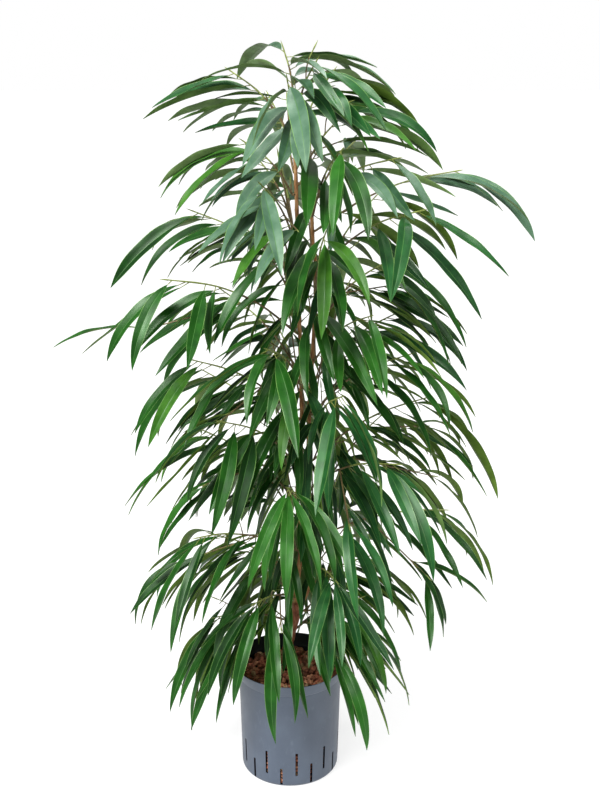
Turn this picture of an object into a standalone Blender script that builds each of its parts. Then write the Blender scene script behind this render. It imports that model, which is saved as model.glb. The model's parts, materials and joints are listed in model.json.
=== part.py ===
"""An alii ficus in a slotted hydroculture pot, about 1.17 m tall.

The pot is turned and slotted, and clay pebbles fill it. A short trunk stands in the pebbles
and forks into two stems. Each shoot with its leaves is one piece, fused from three-sided
twigs and folded, arching leaves, and keeps to its own part of the crown. Metres, +Z up, the
origin in the middle of the pot's foot, and -Y is the front.
"""

import math
import random

import bmesh
import bpy
from mathutils import Vector
from mathutils.bvhtree import BVHTree

SEED = 13
GAP = 0.0003
WELD = 0.000002

# Pot: a culture pot 180 mm across the rim and 190 mm tall.
POT_HEIGHT = 0.190
RIM_RADIUS = 0.090
COLLAR_HEIGHT = 0.019
COLLAR_RADIUS = 0.0845
STEP_HEIGHT = 0.0015
BODY_RADIUS = 0.0828
FOOT_RADIUS = 0.0785
FOOT_BEVEL = 0.003
WALL = 0.0018
POT_SIDES = 40
SLOT_COUNT = 20
SLOT_WIDTH = 0.004
LOW_SLOT = (0.004, 0.040)
SHORT_SLOT = (0.004, 0.034)
HIGH_SLOT = (0.021, 0.063)
SHORT_SLOT_INDEX = 14
SLOT_TURN = math.radians(3.5)

# Pebbles: the fill inside the pot, with an uneven top that is level round the trunk.
GROUND = 0.170
PEBBLE_RINGS = 6
PEBBLE_SIDES = 24
PEBBLE_BUMP = 0.0035
LEVEL_RADIUS = 0.016

# Trunk and stems: centre points in metres, and radii at the foot, the fork and the tips.
FOOT = Vector((-0.006, 0.026, GROUND))
TRUNK_POINTS = (
    (-0.0055, 0.0255, 0.178),
    (-0.001, 0.020, 0.205),
    (0.005, 0.011, 0.240),
    (0.013, 0.002, 0.288),
)
TRUNK_RADII = (0.0095, 0.0072, 0.0062, 0.0059, 0.0088)
LEFT_POINTS = (
    (0.0085, 0.002, 0.289),
    (0.015, 0.003, 0.354),
    (0.018, 0.002, 0.401),
    (0.012, 0.004, 0.480),
    (0.019, 0.005, 0.588),
    (0.015, 0.002, 0.780),
    (0.011, 0.000, 0.960),
    (0.007, 0.001, 1.085),
)
RIGHT_POINTS = (
    (0.0175, 0.002, 0.289),
    (0.030, -0.001, 0.324),
    (0.032, -0.003, 0.401),
    (0.030, -0.002, 0.522),
    (0.0305, -0.003, 0.621),
    (0.040, 0.001, 0.810),
    (0.035, 0.003, 0.886),
    (0.033, 0.002, 0.935),
)
STEM_RADII = (0.0040, 0.0026)
STEM_STEP = 0.055

# Crown: its middle, and how far the tips reach to the left and right at each height.
MIDDLE = Vector((0.020, 0.0, 0.0))
CROWN_ROWS = (
    (0.05, 0.205, 0.195),
    (0.13, 0.222, 0.200),
    (0.24, 0.225, 0.200),
    (0.31, 0.320, 0.320),
    (0.40, 0.240, 0.350),
    (0.47, 0.290, 0.300),
    (0.56, 0.300, 0.290),
    (0.66, 0.245, 0.262),
    (0.72, 0.385, 0.245),
    (0.79, 0.290, 0.245),
    (0.85, 0.275, 0.360),
    (0.93, 0.200, 0.345),
    (0.99, 0.215, 0.215),
    (1.05, 0.240, 0.165),
    (1.11, 0.185, 0.160),
    (1.17, 0.095, 0.150),
)
DEPTH_SHARE = 0.92

# Shoots: each stands a little above the last one, and a golden angle further round. Where a
# value has several numbers, they are for heights evenly spaced from the lowest shoot up. Each
# side twig has the share of the shoot at which it leaves, and how much steeper it sets out.
SHOOT_COUNT = 50
SHOOT_HEIGHTS = (0.240, 1.060)
FIRST_TURN = math.radians(50)
GOLDEN_ANGLE = math.pi * (3 - math.sqrt(5))
TURN_JITTER = math.radians(8)
HEIGHT_JITTER = 0.008
TIP_DROP = (0.12, 0.05, 0.03, -0.01, -0.03)
LEAF_RUN = (0.60, 0.80, 0.85, 0.88)
SHOOT_RADIUS = 0.0017
TWIG_RADIUS = 0.0012
TIP_RADIUS = 0.0009
SEAT_LENGTH = 0.004
SHOOT_CLIMB = (0.0, 0.10, 0.105, 0.105, 0.08)
SHOOT_BEND = math.radians(18)
SHORTEST_SHOOT = 0.050
RUN_ALLOWANCE = 1.08
SHOOT_STEPS = 3
TWIG_STEPS = 1
SIDE_TWIGS = ((0.25, math.radians(52)), (0.55, math.radians(-46)))
TWIG_SHARE = 0.75
TWIG_SPREAD = math.radians(42)
LEADER_LENGTH = 0.072
RIGHT_TIP_TURN = math.radians(-35)
LEADER_PITCHES = (math.radians(90), math.radians(70))

# Leaves: narrow and folded, on short stalks, arching out and down.
LEAF_LENGTH = (0.150, 0.215)
LEAF_SLENDERNESS = 7.1
LEAF_FOLD = 0.20
LEAF_KEEL = 0.0010
STATIONS = (0.0, 0.36, 0.70, 1.0)
WIDTH_SHARES = (0.0, 1.0, 0.68, 0.0)
LEAF_START = tuple(map(math.radians, (-30, -18, -13, -6, 8)))
LEAF_END = tuple(map(math.radians, (-70, -60, -57, -50, -38)))
PITCH_JITTER = math.radians(18)
INNER_DROOP = math.radians(20)
FIRST_LEAF = 0.20
LAST_LEAF = 0.985
LEAVES_ON_SHOOT = 10
LEAVES_ON_TWIG = 6
LEAF_SPREAD = (math.radians(90), math.radians(25))
LEAF_TRIES = 16
ROLL_JITTER = math.radians(34)
SWEEP = 0.14
CLEARANCE = 0.0005
RIM_CLEARANCE = 0.008
TIP_ALLOWANCE = 1.04
LOWEST_TIP = 0.035

# Front gap: where the crown opens on the pot's mouth and few leaves hang.
FRONT_WIDTH = (-0.062, 0.050)
FRONT_RISE = (-0.010, 0.062)
FRONT_SLOPE = 0.577
FRONT_SHARE = 0.12

# Own space: the crown unrolled at this radius, along the arch that shoots and leaves follow.
UNROLLED_RADIUS = 0.15
ARCH_RISE = 0.9
ARCH_FALL = (1.6, 1.0, 0.85, 0.75)
SPACE_MARGIN = 0.0015
SHARED_RADIUS = 0.09

# Cages: how many corners stand round a twig or limb, and how far out, as a share of its radius.
TWIG_CORNERS = 3
TWIG_SWELL = 1.5
LIMB_CORNERS = 8
LIMB_SWELL = 1.1


def mix(low, high, share):
    return low + (high - low) * share


def graded(values, share):
    """The value at a share of the way through evenly spaced values."""
    position = min(max(share, 0), 1) * (len(values) - 1)
    index = min(int(position), len(values) - 2)
    return mix(values[index], values[index + 1], position - index)


def principled(name, colour, roughness):
    material = bpy.data.materials.new(name)
    material.use_nodes = True
    shader = material.node_tree.nodes["Principled BSDF"]
    shader.inputs["Base Color"].default_value = (*colour, 1.0)
    shader.inputs["Roughness"].default_value = roughness
    shader.inputs["Metallic"].default_value = 0.0
    return material


def add_object(name, mesh, material, collection):
    """A new object that holds the mesh, with its material, in the collection."""
    obj = bpy.data.objects.new(name, mesh)
    mesh.materials.clear()
    mesh.materials.append(material)
    collection.objects.link(obj)
    return obj


def evaluated_mesh(obj):
    """The object's mesh with its modifiers or bevel applied, in world space."""
    bpy.context.view_layer.update()
    graph = bpy.context.evaluated_depsgraph_get()
    mesh = bpy.data.meshes.new_from_object(obj.evaluated_get(graph))
    mesh.transform(obj.matrix_world)
    return mesh


def remove_objects(objects):
    for obj in list(objects):
        bpy.data.objects.remove(obj, do_unlink=True)


def smooth_point(points, position):
    """A point on the smooth curve through all the points; position runs from 0 to their last index."""
    last = len(points) - 1
    index = min(int(position), last - 1)
    t = position - index
    before = Vector(points[max(index - 1, 0)])
    start = Vector(points[index])
    end = Vector(points[index + 1])
    after = Vector(points[min(index + 2, last)])
    return 0.5 * (
        2 * start
        + (end - before) * t
        + (2 * before - 5 * start + 4 * end - after) * t**2
        + (3 * start - before - 3 * end + after) * t**3
    )


def stem_route(points):
    """Points along a stem, one every STEM_STEP or so, each with its radius. It sets out upright."""
    steps = round((points[-1][2] - points[0][2]) / STEM_STEP)
    last = len(points) - 1
    route = [smooth_point(points, last * step / steps) for step in range(steps + 1)]
    route.insert(1, route[0] + Vector((0, 0, SEAT_LENGTH)))
    return [(point, mix(*STEM_RADII, step / (steps + 1))) for step, point in enumerate(route)]


def trunk_route():
    """The trunk from its flat foot, upright at first so that the cut is level, to the fork."""
    points = [FOOT + Vector((0, 0, GAP)), *(Vector(point) for point in TRUNK_POINTS)]
    points.insert(1, points[0] + Vector((0, 0, 0.003)))
    radii = [TRUNK_RADII[0], *TRUNK_RADII]
    points.append(points[-1] + Vector((0, 0, 0.0005)))
    radii.append(radii[-1])
    return list(zip(points, radii))


def tube(name, route, profile=None):
    """A mesh tube along the route of points and radii: round, or with the profile curve's section."""
    curve = bpy.data.curves.new(name, "CURVE")
    curve.dimensions = "3D"
    curve.use_fill_caps = True
    if profile:
        curve.bevel_mode = "OBJECT"
        curve.bevel_object = profile
    else:
        curve.bevel_depth = 1.0
        curve.bevel_resolution = 2
    spline = curve.splines.new("POLY")
    spline.points.add(len(route) - 1)
    for spline_point, (point, radius) in zip(spline.points, route):
        spline_point.co = (*point, 1.0)
        spline_point.radius = radius
    obj = bpy.data.objects.new(name, curve)
    bpy.context.scene.collection.objects.link(obj)
    mesh = evaluated_mesh(obj)
    remove_objects([obj])
    bpy.data.curves.remove(curve)
    bm = bmesh.new()
    bm.from_mesh(mesh)
    bmesh.ops.remove_doubles(bm, verts=bm.verts, dist=1e-6)
    bmesh.ops.recalc_face_normals(bm, faces=bm.faces)
    bmesh.ops.triangulate(bm, faces=bm.faces)
    bm.to_mesh(mesh)
    bm.free()
    return mesh


def triangle_profile():
    """The three-sided section that twigs are swept from."""
    curve = bpy.data.curves.new("twig section", "CURVE")
    curve.dimensions = "2D"
    spline = curve.splines.new("POLY")
    spline.use_cyclic_u = True
    spline.points.add(2)
    for index, spline_point in enumerate(spline.points):
        angle = index * 2 * math.pi / 3
        spline_point.co = (math.cos(angle), math.sin(angle), 0, 1)
    obj = bpy.data.objects.new("twig section", curve)
    obj.hide_render = True
    bpy.context.scene.collection.objects.link(obj)
    return obj


def turned(name, profile, sides, material, collection):
    """A closed shape turned from a profile of (radius, height) that starts and ends on the axis."""
    mesh = bpy.data.meshes.new(name)
    edges = [(index, index + 1) for index in range(len(profile) - 1)]
    mesh.from_pydata([(radius, 0, height) for radius, height in profile], edges, [])
    obj = add_object(name, mesh, material, collection)
    screw = obj.modifiers.new("turn", "SCREW")
    screw.steps = sides
    screw.render_steps = sides
    screw.use_merge_vertices = True
    screw.merge_threshold = 0.0001
    screw.use_smooth_shade = True
    return obj


def build_pot(material, collection, cutters):
    wall_in = RIM_RADIUS - WALL
    step = POT_HEIGHT - COLLAR_HEIGHT
    profile = [
        (0, WALL),
        (FOOT_RADIUS - WALL, WALL),
        (BODY_RADIUS - WALL, step - STEP_HEIGHT),
        (COLLAR_RADIUS - WALL, step + STEP_HEIGHT),
        (wall_in, POT_HEIGHT),
        (RIM_RADIUS, POT_HEIGHT),
        (COLLAR_RADIUS, step),
        (BODY_RADIUS, step - STEP_HEIGHT),
        (FOOT_RADIUS, FOOT_BEVEL),
        (FOOT_RADIUS - FOOT_BEVEL, 0),
        (0, 0),
    ]
    pot = turned("pot", profile, POT_SIDES, material, collection)
    pot.rotation_euler.z = SLOT_TURN
    for index in range(SLOT_COUNT):
        low, high = HIGH_SLOT if index % 2 else LOW_SLOT
        if index == SHORT_SLOT_INDEX:
            low, high = SHORT_SLOT
        angle = SLOT_TURN + (index + 0.25) * 2 * math.pi / SLOT_COUNT
        bpy.ops.mesh.primitive_cube_add(size=1)
        slot = bpy.context.object
        slot.name = f"slot_{index + 1}"
        slot.scale = (0.016, SLOT_WIDTH, high - low)
        slot.rotation_euler.z = angle
        middle = FOOT_RADIUS * math.cos(angle), FOOT_RADIUS * math.sin(angle), (low + high) / 2
        slot.location = middle
        slot.hide_render = True
        slot.display_type = "WIRE"
        for holder in list(slot.users_collection):
            holder.objects.unlink(slot)
        cutters.objects.link(slot)
    cut = pot.modifiers.new("slots", "BOOLEAN")
    cut.operand_type = "COLLECTION"
    cut.collection = cutters
    return pot


def build_pebbles(rng, material, collection):
    """The fill: one solid against the inside of the pot, its top bumpy except round the trunk."""
    clear = WALL + GAP
    step = POT_HEIGHT - COLLAR_HEIGHT
    slope = (BODY_RADIUS - FOOT_RADIUS) / (step - FOOT_BEVEL)
    facet = math.cos(math.pi / POT_SIDES)
    foot = (FOOT_RADIUS - clear) * facet
    top = (FOOT_RADIUS + slope * GROUND - clear) * facet - PEBBLE_BUMP
    rings = [(top * ring / PEBBLE_RINGS, GROUND) for ring in range(PEBBLE_RINGS, -1, -1)]
    profile = [(0, clear), (foot - 0.001, clear), (foot, clear + 0.001), *rings]
    fill = turned("pebbles", profile[::-1], PEBBLE_SIDES, material, collection)
    mesh = evaluated_mesh(fill)
    remove_objects([fill])
    for vertex in mesh.vertices:
        inner = (vertex.co - FOOT).to_2d().length > LEVEL_RADIUS
        if vertex.co.z > GROUND - 0.001 and vertex.co.to_2d().length < top - 0.001 and inner:
            vertex.co.z += rng.uniform(-1.0, 0.6) * PEBBLE_BUMP
    return add_object("pebbles", mesh, material, collection)


def reach(azimuth, height):
    """How far the crown's tips stand from its middle, towards an azimuth and at a height."""
    rows = CROWN_ROWS
    index = 0
    while index < len(rows) - 2 and rows[index + 1][0] < height:
        index += 1
    low, high = rows[index], rows[index + 1]
    share = min(max((height - low[0]) / (high[0] - low[0]), 0), 1)
    left = mix(low[1], high[1], share)
    right = mix(low[2], high[2], share)
    side = math.cos(azimuth)
    width = mix(left, right, (1 + side) / 2)
    return width * mix(DEPTH_SHARE, 1, abs(side))


def drape_height(point):
    """The height on the stems from which an arching shoot or leaf would come to this point."""
    offset = point - MIDDLE
    out = offset.to_2d().length
    edge = reach(math.atan2(offset.y, offset.x), point.z)
    share = min(max((point.z - SHOOT_HEIGHTS[0]) / (SHOOT_HEIGHTS[1] - SHOOT_HEIGHTS[0]), 0), 1)
    return point.z - ARCH_RISE * out + graded(ARCH_FALL, share) * out**2 / edge


class Shoot:
    """One shoot: where it leaves its stem, which way it goes and how high in the crown it is."""

    def __init__(self, name, index, height, azimuth, on_tip=False):
        self.name = name
        self.rng = random.Random(SEED * 1000 + index)
        self.height = height + self.rng.uniform(-1, 1) * HEIGHT_JITTER
        self.azimuth = azimuth + self.rng.uniform(-1, 1) * TURN_JITTER
        self.share = (height - SHOOT_HEIGHTS[0]) / (SHOOT_HEIGHTS[1] - SHOOT_HEIGHTS[0])
        self.on_tip = on_tip
        self.leader = on_tip and self.share > 1


def space_distance(azimuth, drape, shoot):
    """How far a point of the unrolled crown lies from a shoot's own line."""
    turn = 0 if shoot.leader else (azimuth - shoot.azimuth + math.pi) % (2 * math.pi) - math.pi
    return math.hypot(UNROLLED_RADIUS * turn, drape - shoot.height)


def in_own_space(points, shoot, shoots):
    """Whether the points are nearer to this shoot's line than to any other's."""
    for point in points:
        offset = point - MIDDLE
        if offset.to_2d().length < SHARED_RADIUS:
            continue
        azimuth = math.atan2(offset.y, offset.x)
        drape = drape_height(point)
        own = space_distance(azimuth, drape, shoot) + SPACE_MARGIN
        if any(space_distance(azimuth, drape, other) < own for other in shoots if other is not shoot):
            return False
    return True


def unit_leaf():
    """A leaf's faces, and for each point the number of its ring and its corner of the section."""
    bm = bmesh.new()
    rings = len(STATIONS) - 1
    bmesh.ops.create_uvsphere(bm, u_segments=3, v_segments=rings, radius=1)
    marks = []
    for vertex in bm.verts:
        ring = round(math.acos(max(-1, min(1, vertex.co.z))) / math.pi * rings)
        corner = round(math.atan2(vertex.co.y, vertex.co.x) / (2 * math.pi / 3)) % 3
        marks.append((ring, corner))
    faces = [[vertex.index for vertex in face.verts] for face in bm.faces]
    bm.free()
    return marks, faces


LEAF_MARKS, LEAF_FACES = unit_leaf()


class Leaf:
    """One leaf: its root, heading and size, and how it arches."""

    def __init__(self, root, heading, length, start, end, roll, sweep):
        self.root = root
        self.heading = heading
        self.length = length
        self.start = start
        self.end = end
        self.roll = roll
        self.sweep = sweep

    def spine(self, t):
        """The point at share t of the length, and the directions along, across and up there."""
        bend = self.end - self.start
        pitch = self.start + bend * t
        run = self.length * (math.sin(pitch) - math.sin(self.start)) / bend
        rise = self.length * (math.cos(self.start) - math.cos(pitch)) / bend
        ahead = Vector((math.cos(self.heading), math.sin(self.heading), 0))
        side = Vector((-ahead.y, ahead.x, 0))
        up = Vector((0, 0, 1))
        point = self.root + ahead * run + up * rise + side * (self.sweep * self.length * t**2)
        over = up * math.cos(pitch) - ahead * math.sin(pitch)
        across = side * math.cos(self.roll) + over * math.sin(self.roll)
        normal = over * math.cos(self.roll) - side * math.sin(self.roll)
        return point, across, normal

    def points(self, swell=0.0):
        """The solid's corners, swollen on all sides by a clearance."""
        half = self.length / LEAF_SLENDERNESS / 2
        rings = [self.spine(t) for t in STATIONS]
        corners = []
        for ring, corner in LEAF_MARKS:
            point, across, normal = rings[ring]
            if ring in (0, len(STATIONS) - 1):
                corners.append(point)
                continue
            wide = half * WIDTH_SHARES[ring]
            if corner == 2:
                corners.append(point - normal * (LEAF_KEEL + swell))
            else:
                sign = 1 if corner == 0 else -1
                lift = wide * LEAF_FOLD + swell
                corners.append(point + across * sign * (wide + swell) + normal * lift)
        return corners

    def mesh(self):
        mesh = bpy.data.meshes.new("leaf")
        mesh.from_pydata(self.points(), [], LEAF_FACES)
        bm = bmesh.new()
        bm.from_mesh(mesh)
        bmesh.ops.recalc_face_normals(bm, faces=bm.faces)
        bm.to_mesh(mesh)
        bm.free()
        return mesh


class Placed:
    """Everything that has been placed so far, to keep new twigs and leaves clear of it."""

    def __init__(self, limbs):
        self.limbs = limbs
        self.pieces = []
        for route in limbs:
            self.add(*tube_cage(route, LIMB_CORNERS, LIMB_SWELL), "limb")

    def add(self, points, faces, owner):
        low = Vector(tuple(min(point[axis] for point in points) for axis in range(3)))
        high = Vector(tuple(max(point[axis] for point in points) for axis in range(3)))
        self.pieces.append((low, high, BVHTree.FromPolygons(points, faces), owner))

    def touches(self, points, faces, own_twigs):
        tree = BVHTree.FromPolygons(points, faces)
        low = Vector(tuple(min(point[axis] for point in points) for axis in range(3)))
        high = Vector(tuple(max(point[axis] for point in points) for axis in range(3)))
        for other_low, other_high, other, owner in self.pieces:
            if owner is own_twigs:
                continue
            if any(low[axis] > other_high[axis] or high[axis] < other_low[axis] for axis in range(3)):
                continue
            if tree.overlap(other):
                return True
        return False


def clear_of_limbs(points, limbs):
    """Whether the points stay outside every limb."""
    for point in points:
        for route in limbs:
            for (start, radius), (end, _) in zip(route, route[1:]):
                along = end - start
                t = max(0, min(1, (point - start).dot(along) / along.length_squared))
                if (point - start - along * t).length < radius + CLEARANCE:
                    return False
    return True


def clear_of_pot(points):
    """Whether the points are all outside the pot, or all inside it over the pebbles."""
    inside = []
    for point in points:
        if point.z > POT_HEIGHT + RIM_CLEARANCE:
            continue
        out = point.to_2d().length
        if RIM_RADIUS - 2 * RIM_CLEARANCE < out < RIM_RADIUS + RIM_CLEARANCE:
            return False
        if out < RIM_RADIUS and point.z < GROUND + PEBBLE_BUMP + CLEARANCE:
            return False
        inside.append(out < RIM_RADIUS)
    return len(set(inside)) < 2


def in_front_gap(points):
    """Whether a leaf hangs in the slanting gap between the crown and the pot's mouth."""
    for point in points:
        rise = point.z - GROUND + FRONT_SLOPE * point.y
        if point.y < 0 and FRONT_WIDTH[0] < point.x < FRONT_WIDTH[1] and FRONT_RISE[0] < rise < FRONT_RISE[1]:
            return True
    return False


def seat_on_limb(route, height, out):
    """Where a shoot's end sits just clear of a limb's side, which may lean or widen past it."""
    for (start, radius), (end, end_radius) in zip(route, route[1:]):
        if height <= end.z or end is route[-1][0]:
            rise = end.z - start.z
            share = min((height - start.z) / rise, 1)
            lean = abs((end - start).dot(out)) + abs(end_radius - radius)
            clear = mix(radius, end_radius, share) + GAP + SHOOT_RADIUS * lean / rise
            return start.lerp(end, share) + out * clear


def arching_route(start, azimuth, length, pitches, radii, drift, steps=SHOOT_STEPS):
    """Points and radii along a twig that sets out at one pitch and ends at another."""
    route = [(start, radii[0])]
    point = start.copy()
    for step in range(1, steps + 1):
        share = step / steps
        pitch = mix(*pitches, share - 0.5 / steps)
        heading = azimuth + drift * share
        ahead = Vector((math.cos(heading), math.sin(heading), 0)) * math.cos(pitch)
        point = point + (ahead + Vector((0, 0, math.sin(pitch)))) * (length / steps)
        route.append((point, mix(*radii, share)))
    return route


def along_route(route, share):
    """The point at a share of the route."""
    position = share * (len(route) - 1)
    index = min(int(position), len(route) - 2)
    return route[index][0].lerp(route[index + 1][0], position - index)


def cut_back(route, share):
    """The route up to a share of its length, just past the last leaf there."""
    end = min(share + 1 - LAST_LEAF, 1) * (len(route) - 1)
    kept = [pair for index, pair in enumerate(route) if index < end - 0.05]
    radius = max(kept[-1][1] * 0.8, TIP_RADIUS)
    return kept + [(along_route(route, end / (len(route) - 1)), radius)]


def heading_of(route, share):
    index = min(int(share * (len(route) - 1)), len(route) - 2)
    step = route[index + 1][0] - route[index][0]
    return math.atan2(step.y, step.x), math.atan2(step.z, step.to_2d().length)


def shoot_twigs(shoot, limb):
    """The shoot's own twig and the side twigs on it, as routes."""
    rng = shoot.rng
    share = shoot.share
    if shoot.on_tip:
        out = (limb[-1][0] - limb[-2][0]).normalized()
        start = limb[-1][0] + out * GAP
    else:
        out = Vector((math.cos(shoot.azimuth), math.sin(shoot.azimuth), 0))
        start = seat_on_limb(limb, shoot.height, out)
    first = start + out * SEAT_LENGTH
    if shoot.leader:
        radii = (SHOOT_RADIUS, TIP_RADIUS)
        return [arching_route(start, shoot.azimuth, LEADER_LENGTH, LEADER_PITCHES, radii, 0)]
    goal = reach(shoot.azimuth, shoot.height - graded(TIP_DROP, share))
    run = max(goal * RUN_ALLOWANCE - graded(LEAF_RUN, share) * mix(*LEAF_LENGTH, 0.5), SHORTEST_SHOOT)
    climb = math.atan2(graded(SHOOT_CLIMB, share), run) + rng.uniform(-0.1, 0.1)
    pitches = (climb + SHOOT_BEND, climb - SHOOT_BEND)
    length = run / math.cos(climb)
    drift = rng.uniform(-0.15, 0.15)
    main = arching_route(first, shoot.azimuth, length, pitches, (SHOOT_RADIUS, TIP_RADIUS), drift)
    main.insert(0, (start, SHOOT_RADIUS))
    twigs = [main]
    side = rng.choice((-1, 1))
    for fraction, lift in SIDE_TWIGS:
        side = -side
        heading, pitch = heading_of(main, fraction)
        begin = along_route(main, fraction)
        spread = side * TWIG_SPREAD * rng.uniform(0.8, 1.2)
        size = length * TWIG_SHARE * rng.uniform(0.8, 1.1)
        rise = (pitch + lift, climb - SHOOT_BEND + lift / 2)
        twigs.append(arching_route(begin, heading + spread, size, rise, (TWIG_RADIUS, TIP_RADIUS), 0, TWIG_STEPS))
    return twigs


def route_clear(route, shoot, shoots, placed):
    """Whether a side twig keeps to the shoot's own space and clear of all that is placed."""
    points = [along_route(route, step / 6) for step in range(2, 7)]
    if not in_own_space(points, shoot, shoots) or placed.touches(*tube_cage(route), shoot.name):
        return False
    return clear_of_limbs(points, placed.limbs) and clear_of_pot(points)


def tube_cage(route, corners=TWIG_CORNERS, swell=TWIG_SWELL):
    """A cage of faces round a route, to test what would touch it."""
    points, faces = [], []
    for index, (point, radius) in enumerate(route):
        for corner in range(corners):
            angle = corner * 2 * math.pi / corners
            spread = Vector((math.cos(angle), math.sin(angle), 0)) * (radius * swell + CLEARANCE)
            points.append(point + spread)
            if index:
                here = corners * index
                turn = (corner + 1) % corners
                faces.append((here - corners + corner, here - corners + turn, here + turn, here + corner))
    return points, faces


def grow_leaves(shoot, shoots, twigs, placed):
    """The shoot's leaves, and its twigs cut back to their outermost leaves."""
    rng = shoot.rng
    leaves = []
    grown = []
    for number, route in enumerate(twigs):
        count = LEAVES_ON_TWIG if number else LEAVES_ON_SHOOT
        side = rng.choice((-1, 1))
        end = 0
        for place in range(count):
            side = -side
            share = mix(FIRST_LEAF, LAST_LEAF, place / (count - 1))
            leaf = try_leaf(shoot, shoots, route, share, side, placed)
            if leaf:
                end = share
                leaves.append(leaf)
                placed.add(leaf.points(), LEAF_FACES, shoot.name + " leaf")
        grown.append((route, end))
    main, end = grown[0]
    sides = [(route, cut) for route, cut in grown[1:] if cut > 0]
    if sides:
        end = max(end, SIDE_TWIGS[-1][0])
    return leaves, [cut_back(main, end)] + [cut_back(route, cut) for route, cut in sides]


def try_leaf(shoot, shoots, route, share, side, placed):
    rng = shoot.rng
    root = along_route(route, share)
    heading, _ = heading_of(route, share)
    for attempt in range(LEAF_TRIES):
        loose = 1 + attempt / LEAF_TRIES
        if shoot.leader:
            turn = rng.uniform(-math.pi, math.pi)
        else:
            turn = side * mix(*LEAF_SPREAD, share) * rng.uniform(0.3, 1.15) + rng.uniform(-0.2, 0.2) * loose
        length = rng.uniform(*LEAF_LENGTH) * mix(1.0, 0.9, shoot.share) * (1 - 0.25 * attempt / LEAF_TRIES)
        droop = 0 if shoot.leader else INNER_DROOP * (1 - share)
        start = graded(LEAF_START, shoot.share) - droop + rng.uniform(-1, 1) * PITCH_JITTER * loose
        end = graded(LEAF_END, shoot.share) - droop / 2 + rng.uniform(-1, 1) * PITCH_JITTER * loose
        roll = rng.uniform(-1, 1) * ROLL_JITTER
        sweep = rng.uniform(-1, 1) * SWEEP
        leaf = Leaf(root, heading + turn, length, start, end, roll, sweep)
        tip, _, _ = leaf.spine(1.0)
        offset = tip - MIDDLE
        outline = reach(math.atan2(offset.y, offset.x), tip.z)
        if offset.to_2d().length > outline * TIP_ALLOWANCE or tip.z < LOWEST_TIP:
            continue
        spine = [leaf.spine(step / 12)[0] for step in range(1, 13)]
        if not in_own_space(spine[3::2], shoot, shoots):
            continue
        if in_front_gap(spine) and rng.random() > FRONT_SHARE:
            continue
        points = leaf.points(CLEARANCE)
        if not clear_of_limbs(spine + points[3:], placed.limbs) or not clear_of_pot(spine + points):
            continue
        if placed.touches(points, LEAF_FACES, shoot.name):
            continue
        return leaf
    return None


def main_body(mesh):
    """Keeps the mesh's largest body, which drops loose scraps and fills sealed hollows.

    It is split into triangles, and says whether each of their edges has exactly two faces."""
    bm = bmesh.new()
    bm.from_mesh(mesh)
    bmesh.ops.remove_doubles(bm, verts=bm.verts, dist=WELD)
    bmesh.ops.dissolve_degenerate(bm, edges=bm.edges, dist=WELD)
    groups = []
    left = set(bm.faces)
    while left:
        start = left.pop()
        group = {start}
        rim = [start]
        while rim:
            for edge in rim.pop().edges:
                fresh = [face for face in edge.link_faces if face not in group]
                group.update(fresh)
                rim.extend(fresh)
        left -= group
        groups.append(group)
    biggest = max(groups, key=len)
    extra = [face for group in groups if group is not biggest for face in group]
    bmesh.ops.delete(bm, geom=extra, context="FACES")
    for method in ("BEAUTY", "EAR_CLIP"):
        split = bm.copy()
        bmesh.ops.triangulate(split, faces=split.faces, ngon_method=method)
        sound = all(len(edge.link_faces) == 2 for edge in split.edges)
        split.to_mesh(mesh)
        split.free()
        if sound:
            break
    bm.free()
    return sound


def union_of(name, twigs, leaves, section, material, solver):
    """The twigs and leaves joined by one Boolean union on their collection, and whether it is sound."""
    pieces = bpy.data.collections.new(name + " pieces")
    bpy.context.scene.collection.children.link(pieces)
    body = add_object(name, tube(name, twigs[0], section), material, bpy.context.scene.collection)
    for route in twigs[1:]:
        add_object("side twig", tube("side twig", route, section), material, pieces)
    for leaf in leaves:
        add_object("leaf", leaf.mesh(), material, pieces)
    union = body.modifiers.new("union", "BOOLEAN")
    union.operation = "UNION"
    union.operand_type = "COLLECTION"
    union.collection = pieces
    union.solver = solver
    mesh = evaluated_mesh(body)
    remove_objects([body])
    remove_objects(pieces.objects)
    bpy.data.collections.remove(pieces)
    return mesh, main_body(mesh)


def fuse(name, twigs, leaves, section, material, collection):
    """One solid of a shoot. Where a union isn't sound by either solver, it has a leaf less."""
    for count in range(len(leaves), -1, -1):
        for solver in ("EXACT", "MANIFOLD"):
            mesh, sound = union_of(name, twigs, leaves[:count], section, material, solver)
            if sound:
                add_object(name, mesh, material, collection)
                return leaves[:count]
    raise ValueError(name + " can't be joined")


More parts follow.
